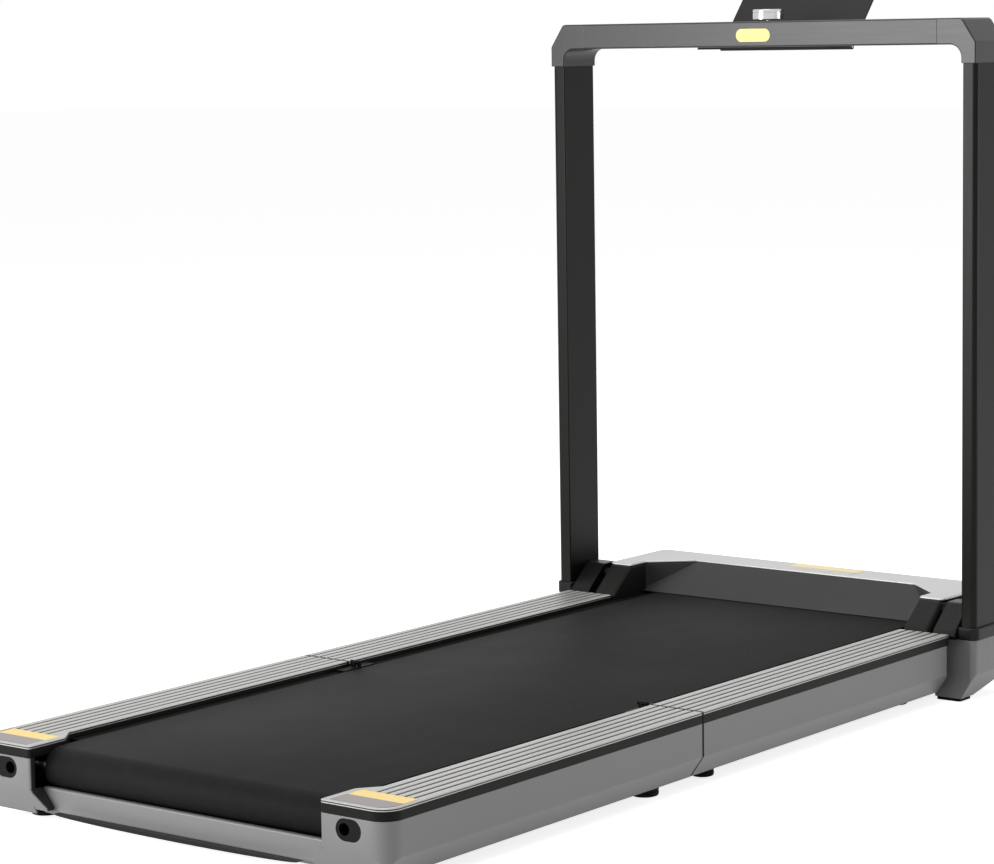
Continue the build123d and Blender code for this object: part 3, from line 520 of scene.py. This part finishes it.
def ribbedRail():
    # extruded tread: rounded ribs, groove floors painted black as painted shade, and drawn streaks along
    # the rail
    tread = dict(inner=0.2508, pitch=0.0131, ribs=6, roundness=0.0006, crowning=0.25,
                 grooves=(0.0967, 0.0970), belowGrooves=(0.0953, 0.0956))
    material, tree, shader, coord = blankMaterial("railExtrusion", 0.3, 0.35)
    spot = axes(tree, coord)
    streak = place(tree, brushedGroup, coord, Stretch=(1, 0.01, 1), Size=500.0).outputs["Height"]
    ribs = mixColour(tree, streak, finishes["railDark"], finishes["railLight"])
    # painted shade: a thin band at the groove floors' height turns near black
    grooveFloorShade = maths(tree, "MULTIPLY", mapRange(tree, spot["Z"], 1.0, 0.0, *tread["grooves"]),
                     mapRange(tree, spot["Z"], 0.0, 1.0, *tread["belowGrooves"]))
    grooved = mixColour(tree, grooveFloorShade, ribs, finishes["railGrooveShade"])
    # painted shade on the rail's ends at the fold gap
    base = mixColour(tree, foldShadeMask(tree, spot["Y"]), grooved, finishes["railFoldShade"])
    # one wave for each rib with its groove, counted from the rail's inner edge
    angle = mapRange(tree, maths(tree, "ABSOLUTE", spot["X"]), 0.0, 2 * math.pi * tread["ribs"],
                     tread["inner"], tread["inner"] + tread["ribs"] * tread["pitch"])
    crown = maths(tree, "MULTIPLY_ADD", maths(tree, "COSINE", angle), -1.0, streak)
    wire(tree, shader, base, mapRange(tree, streak, 0.34, 0.48),
         bump(tree, crown, tread["crowning"], tread["roundness"]))
    return material


def endLabel(name, bandAt, yellow, grey):
    # plain two-band decal: grey behind, yellow in front of bandAt
    edgeBlur = 0.0006
    material, tree, shader, coord = blankMaterial(name, 0.3, coat=0.15)
    front = mapRange(tree, axes(tree, coord)["Y"], 0.0, 1.0, bandAt - edgeBlur, bandAt)
    grain = place(tree, grainGroup, coord, Size=1200.0, Mottle_Size=40.0)
    faded = shades(grey, 0.25)[1]
    worn = mixColour(tree, grain.outputs["Mottle"], grey, faded)
    wire(tree, shader, mixColour(tree, front, worn, yellow),
         mapRange(tree, grain.outputs["Mottle"], 0.3, 0.42),
         bump(tree, grain.outputs["Height"], 0.03, 0.0002))
    return material


panelLook = dict(metallic=0.2, specular=0.2, rough=(0.36, 0.46), grain=1600.0, bump=0.05, vary=0.05,
                 seam=True)
crossbarLook = dict(metallic=0.0, specular=0.35, stretch=(0.02, 1, 1), rough=(0.3, 0.38))

materials = {
    "rail_metal": ribbedRail(),
    "trim_black": mouldedPlastic("trimStrip", finishes["trimBlack"], dict(specular=0.08)),
    "panel_grey": mouldedPlastic("panelPaint", finishes["panelGrey"], panelLook),
    "frame_steel": mouldedPlastic("powderCoat", finishes["steelBlack"],
                                  dict(grain=700.0, bump=0.25, specular=0.06)),
    "board_black": mouldedPlastic("deckBoardFace", finishes["board"],
                                  dict(rough=(0.6, 0.75), specular=0.04, dust=0.0)),
    "belt_rubber": beltRubber(),
    "roller_steel": drawnMetal("turnedSteel", finishes["turnedSteel"],
                               dict(metallic=1.0, stretch=(1, 0.02, 0.02))),
    "pulley_metal": drawnMetal("machinedPulley", finishes["pulleySteel"], dict(metallic=1.0)),
    "motor_paint": mouldedPlastic("motorPaint", finishes["motorGrey"], dict(rough=(0.3, 0.4))),
    "drive_rubber": mouldedPlastic("driveRubber", finishes["driveBlack"], dict(rough=(0.6, 0.75))),
    "board_case": drawnMetal("heatSinkMetal", finishes["heatSink"], dict(stretch=(0.01, 1, 1))),
    "cover_black": mouldedPlastic("coverPlastic", finishes["coverBlack"], dict(specular=0.1)),
    "pad_rubber": mouldedPlastic("footRubber", finishes["padRubber"],
                                 dict(rough=(0.6, 0.8), grain=500.0, bump=0.3, specular=0.08)),
    "hood_black": mouldedPlastic("hoodPlastic", finishes["hoodBlack"],
                                 dict(rough=(0.36, 0.46), specular=0.12, outer=finishes["hoodArm"])),
    "hood_silver": mouldedPlastic("hoodSilverPaint", finishes["hoodSilver"],
                                  dict(metallic=0.2, rough=(0.3, 0.38), grain=2000.0, bump=0.03,
                                       vary=0.04)),
    "post_metal": drawnMetal("postAnodised", finishes["postMetal"],
                             dict(metallic=0.0, specular=0.12, stretch=(1, 1, 0.01), rough=(0.28, 0.36))),
    "joint_dark": drawnMetal("castingPaint", finishes["crossbarMetal"], crossbarLook),
    "crossbar_metal": drawnMetal("crossbarAnodised", finishes["crossbarMetal"], crossbarLook),
    "knob_chrome": drawnMetal("knobChrome", finishes["chrome"],
                              dict(metallic=1.0, rough=(0.12, 0.2), bump=0.01)),
    "console_black": mouldedPlastic("consolePlastic", finishes["consoleBlack"],
                                    dict(rough=(0.42, 0.55), specular=0.12)),
    "wheel_rubber": mouldedPlastic("wheelRubber", finishes["wheelRubber"],
                                   dict(rough=(0.55, 0.7), specular=0.1)),
    "switch_red": mouldedPlastic("rockerRed", finishes["rockerRed"], dict(rough=(0.2, 0.28), bump=0.02)),
}
print("stage: materials built")

slotOf = {entry["node"]: entry["material_slot"] for entry in frame["record"]["subparts"]}
bodyOf = {}
for bodyName, members in frame["record"]["behaviour"]["bodies"].items():
    for member in members:
        bodyOf[member] = bodyName

for nodeName, node in nodes.items():
    paint(node, materials[slotOf[nodeName]])
humpPlastic = mouldedPlastic("humpPlastic", finishes["humpBlack"],
                             dict(rough=(0.28, 0.38), specular=0.16))
hingeSteel = mouldedPlastic("hingeSteel", finishes["hingeBlack"],
                            dict(grain=700.0, bump=0.2, specular=0.06))
bezelBlack = mouldedPlastic("bezelBlack", finishes["bezelBlack"],
                            dict(rough=(0.35, 0.45), specular=0.08))
capPaint = mouldedPlastic("capPaint", finishes["panelGrey"], dict(panelLook, inner=finishes["capInsideShade"]))
repainted = {
    "pivot_covers": humpPlastic,
    "post_collars": humpPlastic,
    "frame_pivot_pins": materials["frame_steel"],
    "fold_hinge_rear_leaves": hingeSteel,
    "fold_hinge_front_leaves": hingeSteel,
    "fold_hinge_pins": hingeSteel,
    "bolt_bezels": bezelBlack,
    "left_rear_side_panel": capPaint,
    "right_rear_side_panel": capPaint,
}
for nodeName, finish in repainted.items():
    paint(nodes[nodeName], finish)


# Softened copies: a CAD node's mesh, merged and given small rounded edges

softEdges = {
    "motor_hood": 0.0012,
    "pivot_covers": 0.0010,
    "left_rear_side_panel": 0.0010,
    "right_rear_side_panel": 0.0010,
    "left_front_side_panel": 0.0010,
    "right_front_side_panel": 0.0010,
    "left_foot_housing": 0.0014,
    "right_foot_housing": 0.0014,
    "hood_top_plate": 0.0007,
    "corner_castings": 0.0008,
    "rear_cross_cover": 0.0006,
    "post_collars": 0.0006,
    "left_rear_rail_trim": 0.0005,
    "right_rear_rail_trim": 0.0005,
    "left_front_rail_trim": 0.0005,
    "right_front_rail_trim": 0.0005,
}
softening = dict(merge=0.00001, flat=0.6, sharp=28, smooth=32)  # metres, then degrees

hoodVents = dict(first=(-0.196, 0.7128, 0.056), slot=(0.0032, 0.012, 0.030), step=0.0085, count=16)


def ventCutter():
    # a row of slots through the hood's front wall, beside the motor
    slot = slab(hoodVents["slot"], hoodVents["first"], 0.0014)
    inRow(slot, hoodVents["count"], hoodVents["step"])
    return slot


def softened(nodeName, width):
    source = nodes[nodeName]
    copy = source.copy()
    copy.data = source.data.copy()
    copy.parent = None
    copy.matrix_world = Matrix.Identity(4)
    bpy.context.collection.objects.link(copy)
    pickOnly(copy)
    editAll()
    bpy.ops.mesh.remove_doubles(threshold=softening["merge"])
    bpy.ops.mesh.customdata_custom_splitnormals_clear()
    bpy.ops.mesh.dissolve_limited(angle_limit=math.radians(softening["flat"]))
    objectMode()
    if nodeName == "motor_hood":
        cutAway(copy, ventCutter())
    bevel = copy.modifiers.new("soft", "BEVEL")
    bevel.width = width
    bevel.segments = 2
    bevel.limit_method = "ANGLE"
    bevel.angle_limit = math.radians(softening["sharp"])
    bevel.use_clamp_overlap = True
    applyAll(copy)
    smoothed(copy, softening["smooth"])
    level = copy.modifiers.new("level", "WEIGHTED_NORMAL")
    level.keep_sharp = True
    applyAll(copy)
    copy.name = nodeName + "_soft"
    copy.data.name = copy.name
    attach(copy, bodyOf[nodeName])
    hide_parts(nodeName)


for nodeName, width in softEdges.items():
    softened(nodeName, width)
print("stage: softened copies made")


# Decals: plain two-band labels on the end caps and the hood, and a yellow oval on the crossbar

capDecal = dict(x=(0.2370, 0.3225), y=(-0.7066, -0.6526), z=0.0974)
decals = {
    "right_cap_label": dict(capDecal, radii={(1, -1): 0.0192, (-1, -1): 0.003}),
    "left_cap_label": dict(capDecal, x=(-0.3225, -0.2370), radii={(-1, -1): 0.0192, (1, -1): 0.003}),
    "hood_label": dict(x=(-0.041, 0.077), y=(0.657, 0.699), z=0.137, radii={}),
}
decalThickness = 0.0004
decalCorner = 0.0015
capBandAt = -0.6772
hoodBandAt = 0.676


def decal(name, x, y, z, radii):
    # a sheet between two x and two y, its corners rounded by their own radius or the usual one
    deselectAll()
    middle = ((x[0] + x[1]) / 2, (y[0] + y[1]) / 2, z)
    bpy.ops.mesh.primitive_plane_add(size=1, location=middle)
    sheet = bpy.context.object
    sheet.scale = (x[1] - x[0], y[1] - y[0], 1)
    bpy.ops.object.transform_apply(location=True, rotation=False, scale=True)
    editAll()
    for sideX in (-1, 1):
        for sideY in (-1, 1):
            corner = (x[0] if sideX < 0 else x[1], y[0] if sideY < 0 else y[1])
            pickVertices(sheet, lambda co: abs(co.x - corner[0]) < 1e-6 and abs(co.y - corner[1]) < 1e-6)
            bpy.ops.mesh.bevel(offset=radii.get((sideX, sideY), decalCorner), segments=6, affect="VERTICES")
    bpy.ops.mesh.select_all(action="SELECT")
    pushOut((0, 0, decalThickness))
    pointOutwards()
    return settle(sheet, name)


capLabel = endLabel("capLabel", capBandAt, finishes["labelYellow"], finishes["labelGrey"])
hoodLabel = endLabel("hoodLabel", hoodBandAt, finishes["hoodLabelYellow"], finishes["hoodLabelGrey"])
for labelName in ("right_cap_label", "left_cap_label"):
    mount(decal(labelName, **decals[labelName]), "rear_deck", "rail_metal", capLabel)
mount(decal("hood_label", **decals["hood_label"]), "base", "hood_silver", hoodLabel)


def crossbarOval():
    oval = dict(halfLength=0.0288, low=0.9216, high=0.9402, face=0.5195)
    radius = (oval["high"] - oval["low"]) / 2
    deselectAll()
    bpy.ops.mesh.primitive_circle_add(vertices=36, radius=radius, fill_type="NGON")
    badge = bpy.context.object
    editAll()
    bpy.ops.mesh.bisect(plane_co=(0, 0, 0), plane_no=(1, 0, 0))
    shift = oval["halfLength"] - radius
    for side in (-1, 1):
        pickVertices(badge, lambda co: co.x * side > 1e-5)
        bpy.ops.transform.translate(value=(side * shift, 0, 0))
    bpy.ops.mesh.select_all(action="SELECT")
    pushOut((0, 0, decalThickness))
    pointOutwards()
    badge.rotation_euler = (math.pi / 2, 0, 0)
    badge.location = (0, oval["face"], (oval["high"] + oval["low"]) / 2)
    return settle(badge, "crossbar_badge")


badgeYellow = mouldedPlastic("badgeYellow", finishes["badgeYellow"],
                             dict(rough=(0.3, 0.4), bump=0.02, vary=0.04, coat=0.1))
mount(crossbarOval(), "handle_frame", "crossbar_metal", badgeYellow)
print("stage: decals made")


# Speed knob: turned body with a grip ring and a spun face

knob = dict(low=0.9525, radius=0.022, height=0.0152, axis=(0, 0.56, 0), faceRadius=0.0182)


def knobRings():
    low, radius = knob["low"], knob["radius"]
    top = low + knob["height"]
    return [(0.0031, low + 0.0081), (0.0031, low), (radius - 0.0012, low), (radius, low + 0.0012),
            (radius, top - 0.0052), (radius - 0.0004, top - 0.0048), (radius - 0.0004, top - 0.0042),
            (radius, top - 0.0038), (radius, top - 0.0012), (radius - 0.0003, top - 0.0005),
            (radius - 0.0012, top), (radius - 0.0028, top), (radius - 0.0033, top - 0.0005),
            (0.001, top - 0.0005)]


def faceRings():
    low, radius = knob["low"] + knob["height"] - 0.0005, knob["faceRadius"]
    return [(radius, low), (radius, low + 0.0003), (radius - 0.0004, low + 0.0005), (0.001, low + 0.0003)]


knobBody = turned("knob_body", knobRings(), 96, spot=knob["axis"])
mount(knobBody, "knob", "knob_chrome", materials["knob_chrome"], "speed_knob")
knobFace = turned("knob_face", faceRings(), 72, spot=knob["axis"])
spunFace = drawnMetal("spunFace", finishes["spunChrome"],
                      dict(metallic=0.9, rough=(0.22, 0.34), stretch=(1, 1, 1), size=260.0))
mount(knobFace, "knob", "knob_chrome", spunFace)
print("stage: knob made")


# Rubber feet with a screw well, and transport wheels with tyre and hub

def footRings(radius, top):
    return [(0.0052, 0.005), (0.0052, 0.0), (radius - 0.0026, 0.0), (radius - 0.0009, 0.0007),
            (radius, 0.0026), (radius, 0.0056), (radius - 0.0011, 0.0062), (radius - 0.0011, 0.0073),
            (radius, 0.0079), (radius, top)]


feetSets = {
    "tail_feet": dict(body="rear_deck", radius=0.018, top=0.015, spots=[(0.266, -0.656), (-0.266, -0.656)],
                      nodes=[]),
    "rear_side_feet": dict(body="rear_deck", radius=0.018, top=0.013,
                           spots=[(0.286, -0.169), (-0.286, -0.169)], nodes=["rear_deck_feet"]),
    "front_side_feet": dict(body="base", radius=0.015, top=0.013,
                            spots=[(0.286, -0.042), (-0.286, -0.042), (0.269, 0.466), (-0.269, 0.466)],
                            nodes=["front_deck_feet"]),
}
for feetName, feet in feetSets.items():
    pattern = turned("foot", footRings(feet["radius"], feet["top"]), 48)
    placed = scattered(pattern, [(x, y, 0) for x, y in feet["spots"]], feetName)
    mount(placed, feet["body"], "pad_rubber", materials["pad_rubber"], *feet["nodes"])

wheelAxle = dict(x=0.27075, y=0.688, z=0.021)
# radius and distance from the wheel's middle; each profile is its half and the half's mirror image
tyreHalf = [(0.0192, 0.001), (0.02, 0.0016), (0.02, 0.0045), (0.0194, 0.0066), (0.0178, 0.008),
            (0.0128, 0.008), (0.012, 0.005), (0.0045, 0.005)]
hubHalf = [(0.0118, 0.0058), (0.0104, 0.0052), (0.0066, 0.0058), (0.0064, 0.0074), (0.0042, 0.0074)]


def bothSides(half):
    return [(radius, -away) for radius, away in reversed(half)] + half


hubPlastic = mouldedPlastic("hubPlastic", finishes["hubGrey"], dict(rough=(0.4, 0.5)))
for side, sign in (("left", -1), ("right", 1)):
    axle = (sign * wheelAxle["x"], wheelAxle["y"], wheelAxle["z"])
    tyre = turned(side + "_tyre", bothSides(tyreHalf), 56, spot=axle, turn=(0, math.pi / 2, 0))
    mount(tyre, side + "_wheel", "wheel_rubber", materials["wheel_rubber"], side + "_transport_wheel")
    hub = turned(side + "_hub", bothSides(hubHalf), 40, spot=axle, turn=(0, math.pi / 2, 0))
    mount(hub, side + "_wheel", "wheel_rubber", hubPlastic)
print("stage: feet and wheels made")


# Roller ends: black end discs, grooved round the axle

roller = dict(endX=0.230, z=0.0654, rearY=-0.666, frontY=0.6084)
endDisc = [(0.0078, 0.0), (0.0212, 0.0), (0.0222, 0.0004), (0.0222, 0.0007), (0.0208, 0.0010),
           (0.0148, 0.0010), (0.0144, 0.0006), (0.0106, 0.0006), (0.0102, 0.0010), (0.0078, 0.0010)]
rollerEnds = {
    "rear_roller_ends": dict(body="rear_roller_unit", y=roller["rearY"], turns=(1, -1)),
    "front_roller_end": dict(body="front_roller_unit", y=roller["frontY"], turns=(1,)),
}
for endName, end in rollerEnds.items():
    for sign in end["turns"]:
        disc = turned(endName + ("_right" if sign > 0 else "_left"), endDisc, 56,
                      spot=(sign * roller["endX"], end["y"], roller["z"]), turn=(0, sign * math.pi / 2, 0))
        mount(disc, end["body"], "roller_steel", materials["cover_black"])


# Screws: pan heads under the belly pans, countersunk ones in the hinge leaves

def screw(flat):
    head = [(0.0036, 0.0), (0.0036, 0.0006), (0.0031, 0.0014), (0.0016, 0.0019), (0.0004, 0.0020)]
    if flat:
        head = [(0.0022, -0.0011), (0.0037, 0.0), (0.0004, 0.0001)]
    piece = turned("screw", head, 28)
    top = head[-1][1]
    slotLong, slotWide, slotDeep = 0.0040, 0.0008, 0.0018
    cross = slab((slotLong, slotWide, slotDeep), (0, 0, top))
    other = slab((slotWide, slotLong, slotDeep), (0, 0, top + 0.00001))
    cutAway(piece, cross)
    cutAway(piece, other)
    smoothed(piece, 30)
    return piece


pan = dict(columns=(-0.290, 0, 0.290), under=0.013)
leafTop = 0.0918
leafScrews = [(x, away) for x in (-0.238, 0.238) for away in (0.01125, 0.02325)]  # away from the fold


def panScrews(rows):
    return [(x, y, pan["under"]) for x in pan["columns"] for y in rows]


# turns about X for a head that looks down, ahead or up
lookDown, lookAhead, lookUp = (math.pi, 0, 0), (-math.pi / 2, 0, 0), (0, 0, 0)
screwSets = {
    "rear_pan_screws": dict(body="rear_deck", turn=lookDown,
                            spots=panScrews((-0.606, -0.36, -0.120))),
    "front_pan_screws": dict(body="base", turn=lookDown,
                             spots=panScrews((-0.086, 0.2, 0.43))),
    "inlet_screws": dict(body="base", turn=lookAhead,
                         spots=[(x, 0.7120, z) for x in (0.1240, 0.1820) for z in (0.0400, 0.0680)]),
    "rear_leaf_screws": dict(body="rear_deck", turn=lookUp, flat=True,
                             spots=[(x, foldY - away, leafTop) for x, away in leafScrews]),
    "front_leaf_screws": dict(body="base", turn=lookUp, flat=True,
                              spots=[(x, foldY + away, leafTop) for x, away in leafScrews]),
}
for screwsName, screws in screwSets.items():
    placed = scattered(screw(screws.get("flat", False)), screws["spots"], screwsName, screws["turn"])
    finish = materials["frame_steel"] if screws.get("flat") else materials["roller_steel"]
    mount(placed, screws["body"], "roller_steel", finish)
print("stage: roller ends and screws made")


# Tail lip: a bowed black strip behind the rear cross cover's lower edge

def tailLip():
    lip = dict(halfLength=0.195, depth=0.0050, top=0.0201, rear=-0.7125, forward=0.0105)
    deselectAll()
    bpy.ops.mesh.primitive_circle_add(vertices=96, radius=1, fill_type="NGON")
    strip = bpy.context.object
    strip.scale = (lip["halfLength"], lip["depth"], 1)
    strip.rotation_euler = (math.pi / 2, 0, 0)
    strip.location = (0, lip["rear"], lip["top"])
    bpy.ops.object.transform_apply(location=True, rotation=True, scale=True)
    editAll()
    bpy.ops.mesh.bisect(plane_co=(0, 0, lip["top"]), plane_no=(0, 0, 1), clear_outer=True)
    bpy.ops.mesh.select_all(action="SELECT")
    pushOut((0, lip["forward"], 0))
    pointOutwards()
    smoothed(strip, 30)
    return settle(strip, "tail_lip")


mount(tailLip(), "rear_deck", "trim_black", materials["cover_black"])


# Fold seam: a black end plate closes each deck half behind the gap; its black is painted shade for the gap

seamEnds = dict(inner=0.2530, outer=0.3268, top=0.0825, kneeZ=0.0405, bottom=0.0142, footX=0.3085,
                thick=0.001, rearFaces={"rear_deck": -0.1049, "base": -0.1021})


def seamPlate(sign, name, rearFace):
    inner, outer, bottom, top = (seamEnds[key] for key in ("inner", "outer", "bottom", "top"))
    deselectAll()
    bpy.ops.mesh.primitive_plane_add(size=1)
    plate = bpy.context.object
    plate.scale = (outer - inner, top - bottom, 1)
    plate.rotation_euler = (math.pi / 2, 0, 0)
    plate.location = ((outer + inner) / 2, rearFace, (top + bottom) / 2)
    bpy.ops.object.transform_apply(location=True, rotation=True, scale=True)
    editAll()
    # the lower outer corner slopes in like the side panel
    slope = (outer - seamEnds["footX"], seamEnds["kneeZ"] - bottom)
    bpy.ops.mesh.bisect(plane_co=(outer, rearFace, seamEnds["kneeZ"]), plane_no=(slope[1], 0, -slope[0]),
                        clear_outer=True)
    bpy.ops.mesh.select_all(action="SELECT")
    pushOut((0, seamEnds["thick"], 0))
    pointOutwards()
    if sign < 0:
        plate.scale = (-1, 1, 1)
        bpy.ops.object.transform_apply(location=False, rotation=False, scale=True)
        editAll()
        pointOutwards()
    return settle(plate, name)


for body, rearFace in seamEnds["rearFaces"].items():
    for side, sign in (("right", 1), ("left", -1)):
        plate = seamPlate(sign, body + "_seam_plate_" + side, rearFace)
        # black plates: painted shade behind the fold gap
        mount(plate, body, "trim_black", materials["frame_steel"])


# Belly pans: raised stiffening beads under both decks

beads = dict(width=0.010, height=0.0018, rounding=0.0008, firstX=-0.24, step=0.08, count=7)
beadSets = {
    "rear_pan_beads": dict(body="rear_deck", length=0.40, middle=-0.363),
    "front_pan_beads": dict(body="base", length=0.42, middle=0.17),
}
for beadName, bead in beadSets.items():
    size = (beads["width"], bead["length"], beads["height"])
    strip = slab(size, (beads["firstX"], bead["middle"], pan["under"]), beads["rounding"])
    inRow(strip, beads["count"], beads["step"])
    smoothed(strip, 40)
    mount(settle(strip, beadName), bead["body"], "cover_black", materials["cover_black"])


# Tablet rest: soft strips that hold the tablet

tablet = dict(axis=(0, 0.6065, 0.9127), lean=-40.5, face=-0.0021)
tabletStrips = dict(width=0.170, height=0.006, thick=0.0012, rounding=0.0005, up=(0.035, 0.120))


def tabletPads():
    size = (tabletStrips["width"], tabletStrips["thick"], tabletStrips["height"])
    rounding = tabletStrips["rounding"]
    pads = joined([slab(size, (0, tablet["face"], up), rounding) for up in tabletStrips["up"]])
    pads.location = tablet["axis"]
    pads.rotation_euler = (math.radians(tablet["lean"]), 0, 0)
    smoothed(pads, 40)
    return settle(pads, "tablet_pads")


mount(tabletPads(), "tablet_panel", "console_black", materials["pad_rubber"])
print("stage: beads and tablet pads made")


# Walking belt: one loop over both rollers, cut closely round the deck's fold

belt = dict(halfWidth=0.2285, thick=0.002, outerRadius=0.0256, arcSteps=36, foldReach=0.02, foldCuts=9,
            otherCuts=(-0.5, -0.3, 0.1, 0.3, 0.5), rim=0.0007)


def walkingBelt():
    deselectAll()
    # the turns lie half a facet off the top, so the two long facets become the straight runs
    count = belt["arcSteps"]
    trueRadius = belt["outerRadius"] / math.cos(math.pi / count)
    bpy.ops.mesh.primitive_cylinder_add(
        vertices=count, radius=trueRadius, depth=2 * belt["halfWidth"], end_fill_type="NOTHING",
        rotation=(0, math.pi / 2, 0))
    loop = bpy.context.object
    bpy.ops.object.transform_apply(location=True, rotation=True, scale=True)
    editAll()
    bpy.ops.transform.rotate(value=math.pi / count, orient_axis="X", center_override=(0, 0, 0))
    pickVertices(loop, lambda co: co.y > 0)
    bpy.ops.transform.translate(value=(0, roller["frontY"] - roller["rearY"], 0))
    bpy.ops.mesh.select_all(action="SELECT")
    bpy.ops.transform.translate(value=(0, roller["rearY"], roller["z"]))
    # close cuts round the fold between the deck halves
    cuts = [foldY + belt["foldReach"] * (2 * index / (belt["foldCuts"] - 1) - 1)
            for index in range(belt["foldCuts"])]
    for cutY in cuts + list(belt["otherCuts"]):
        bpy.ops.mesh.select_all(action="SELECT")
        bpy.ops.mesh.bisect(plane_co=(0, cutY, 0), plane_no=(0, 1, 0))
    pointOutwards()
    wall = loop.modifiers.new("wall", "SOLIDIFY")
    wall.thickness = belt["thick"]
    wall.offset = -1
    rim = loop.modifiers.new("rim", "BEVEL")
    rim.width = belt["rim"]
    rim.segments = 2
    rim.limit_method = "ANGLE"
    rim.angle_limit = math.radians(50)
    applyAll(loop)
    smoothed(loop, 40)
    return settle(loop, "walking_belt")


beltPiece = walkingBelt()
paint(beltPiece, materials["belt_rubber"])
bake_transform(beltPiece)
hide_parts("rear_belt_half", "front_belt_half")
print("stage: belt made")


# Floor, light and camera

studio = dict(floorSize=60, floorTone=0.8, floorRough=0.9, floorGlow=0.82, ambient=0.2)


def paleFloor():
    deselectAll()
    bpy.ops.mesh.primitive_plane_add(size=studio["floorSize"], location=(0, 0, 0))
    floor = bpy.context.object
    floor.name = "floor"
    material = bpy.data.materials.new("paleFloor")
    material.use_nodes = True
    tree = material.node_tree
    shader = tree.nodes["Principled BSDF"]
    tone = studio["floorTone"]
    shader.inputs["Base Color"].default_value = (tone, tone, tone, 1)
    shader.inputs["Roughness"].default_value = studio["floorRough"]
    shader.inputs["Specular IOR Level"].default_value = 0.0
    # it glows for the camera and for reflections, and not as a light
    path = tree.nodes.new("ShaderNodeLightPath").outputs
    seen = maths(tree, "MAXIMUM", path["Is Camera Ray"], path["Is Glossy Ray"])
    tree.links.new(maths(tree, "MULTIPLY", seen, studio["floorGlow"]), shader.inputs["Emission Strength"])
    shader.inputs["Emission Color"].default_value = (1, 1, 1, 1)
    paint(floor, material)


def studioWorld():
    # white where it is seen or reflected, dim where it lights
    world = bpy.data.worlds.new("studio")
    world.use_nodes = True
    scene.world = world
    tree = world.node_tree
    path = tree.nodes.new("ShaderNodeLightPath").outputs
    seen = maths(tree, "MAXIMUM", path["Is Camera Ray"], path["Is Transmission Ray"])
    shiny = maths(tree, "MAXIMUM", seen, path["Is Glossy Ray"])
    dim = studio["ambient"]
    background = tree.nodes["Background"]
    tree.links.new(mixColour(tree, shiny, (dim, dim, dim, 1), (1, 1, 1, 1)), background.inputs["Color"])
    background.inputs["Strength"].default_value = 1.0


def softBox(name, spot, target, size, power):
    lamp = bpy.data.lights.new(name, "AREA")
    lamp.shape = "RECTANGLE"
    lamp.size, lamp.size_y = size
    lamp.energy = power
    holder = bpy.data.objects.new(name, lamp)
    bpy.context.collection.objects.link(holder)
    away = Vector(target) - Vector(spot)
    holder.matrix_world = Matrix.Translation(spot) @ away.to_track_quat("-Z", "Y").to_matrix().to_4x4()


studioLamps = {
    "overhead": dict(spot=(0.0, 0.0, 3.4), target=(0, 0, 0), size=(3.2, 4.4), power=100),
    "rearLeft": dict(spot=(-1.9, -3.7, 1.15), target=(0, 0.3, 0.5), size=(1.7, 1.7), power=150),
    "frontRight": dict(spot=(3.4, 2.4, 0.5), target=(0.3, 0.2, 0.1), size=(1.6, 0.8), power=26),
}

photoView = dict(spot=(2.4959, -3.282, 0.9337), yaw=38.007, pitch=7.144, roll=-0.894, lens=114.04,
                 sensor=36, farthest=100)


def photoCamera():
    data = bpy.data.cameras.new("photoCamera")
    data.lens = photoView["lens"]
    data.sensor_width = photoView["sensor"]
    data.clip_end = photoView["farthest"]
    holder = bpy.data.objects.new("photoCamera", data)
    bpy.context.collection.objects.link(holder)
    yaw, pitch, roll = (math.radians(photoView[key]) for key in ("yaw", "pitch", "roll"))
    ahead = Vector((-math.sin(yaw) * math.cos(pitch), math.cos(yaw) * math.cos(pitch), -math.sin(pitch)))
    level = Vector((math.cos(yaw), math.sin(yaw), 0))
    over = level.cross(ahead)
    right = level * math.cos(roll) + over * math.sin(roll)
    up = over * math.cos(roll) - level * math.sin(roll)
    turn = Matrix((right, up, -ahead)).transposed().to_4x4()
    holder.matrix_world = Matrix.Translation(photoView["spot"]) @ turn
    scene.camera = holder


paleFloor()
studioWorld()
for lampName, lamp in studioLamps.items():
    softBox(lampName, **lamp)
photoCamera()
print("stage: floor, light and camera set")
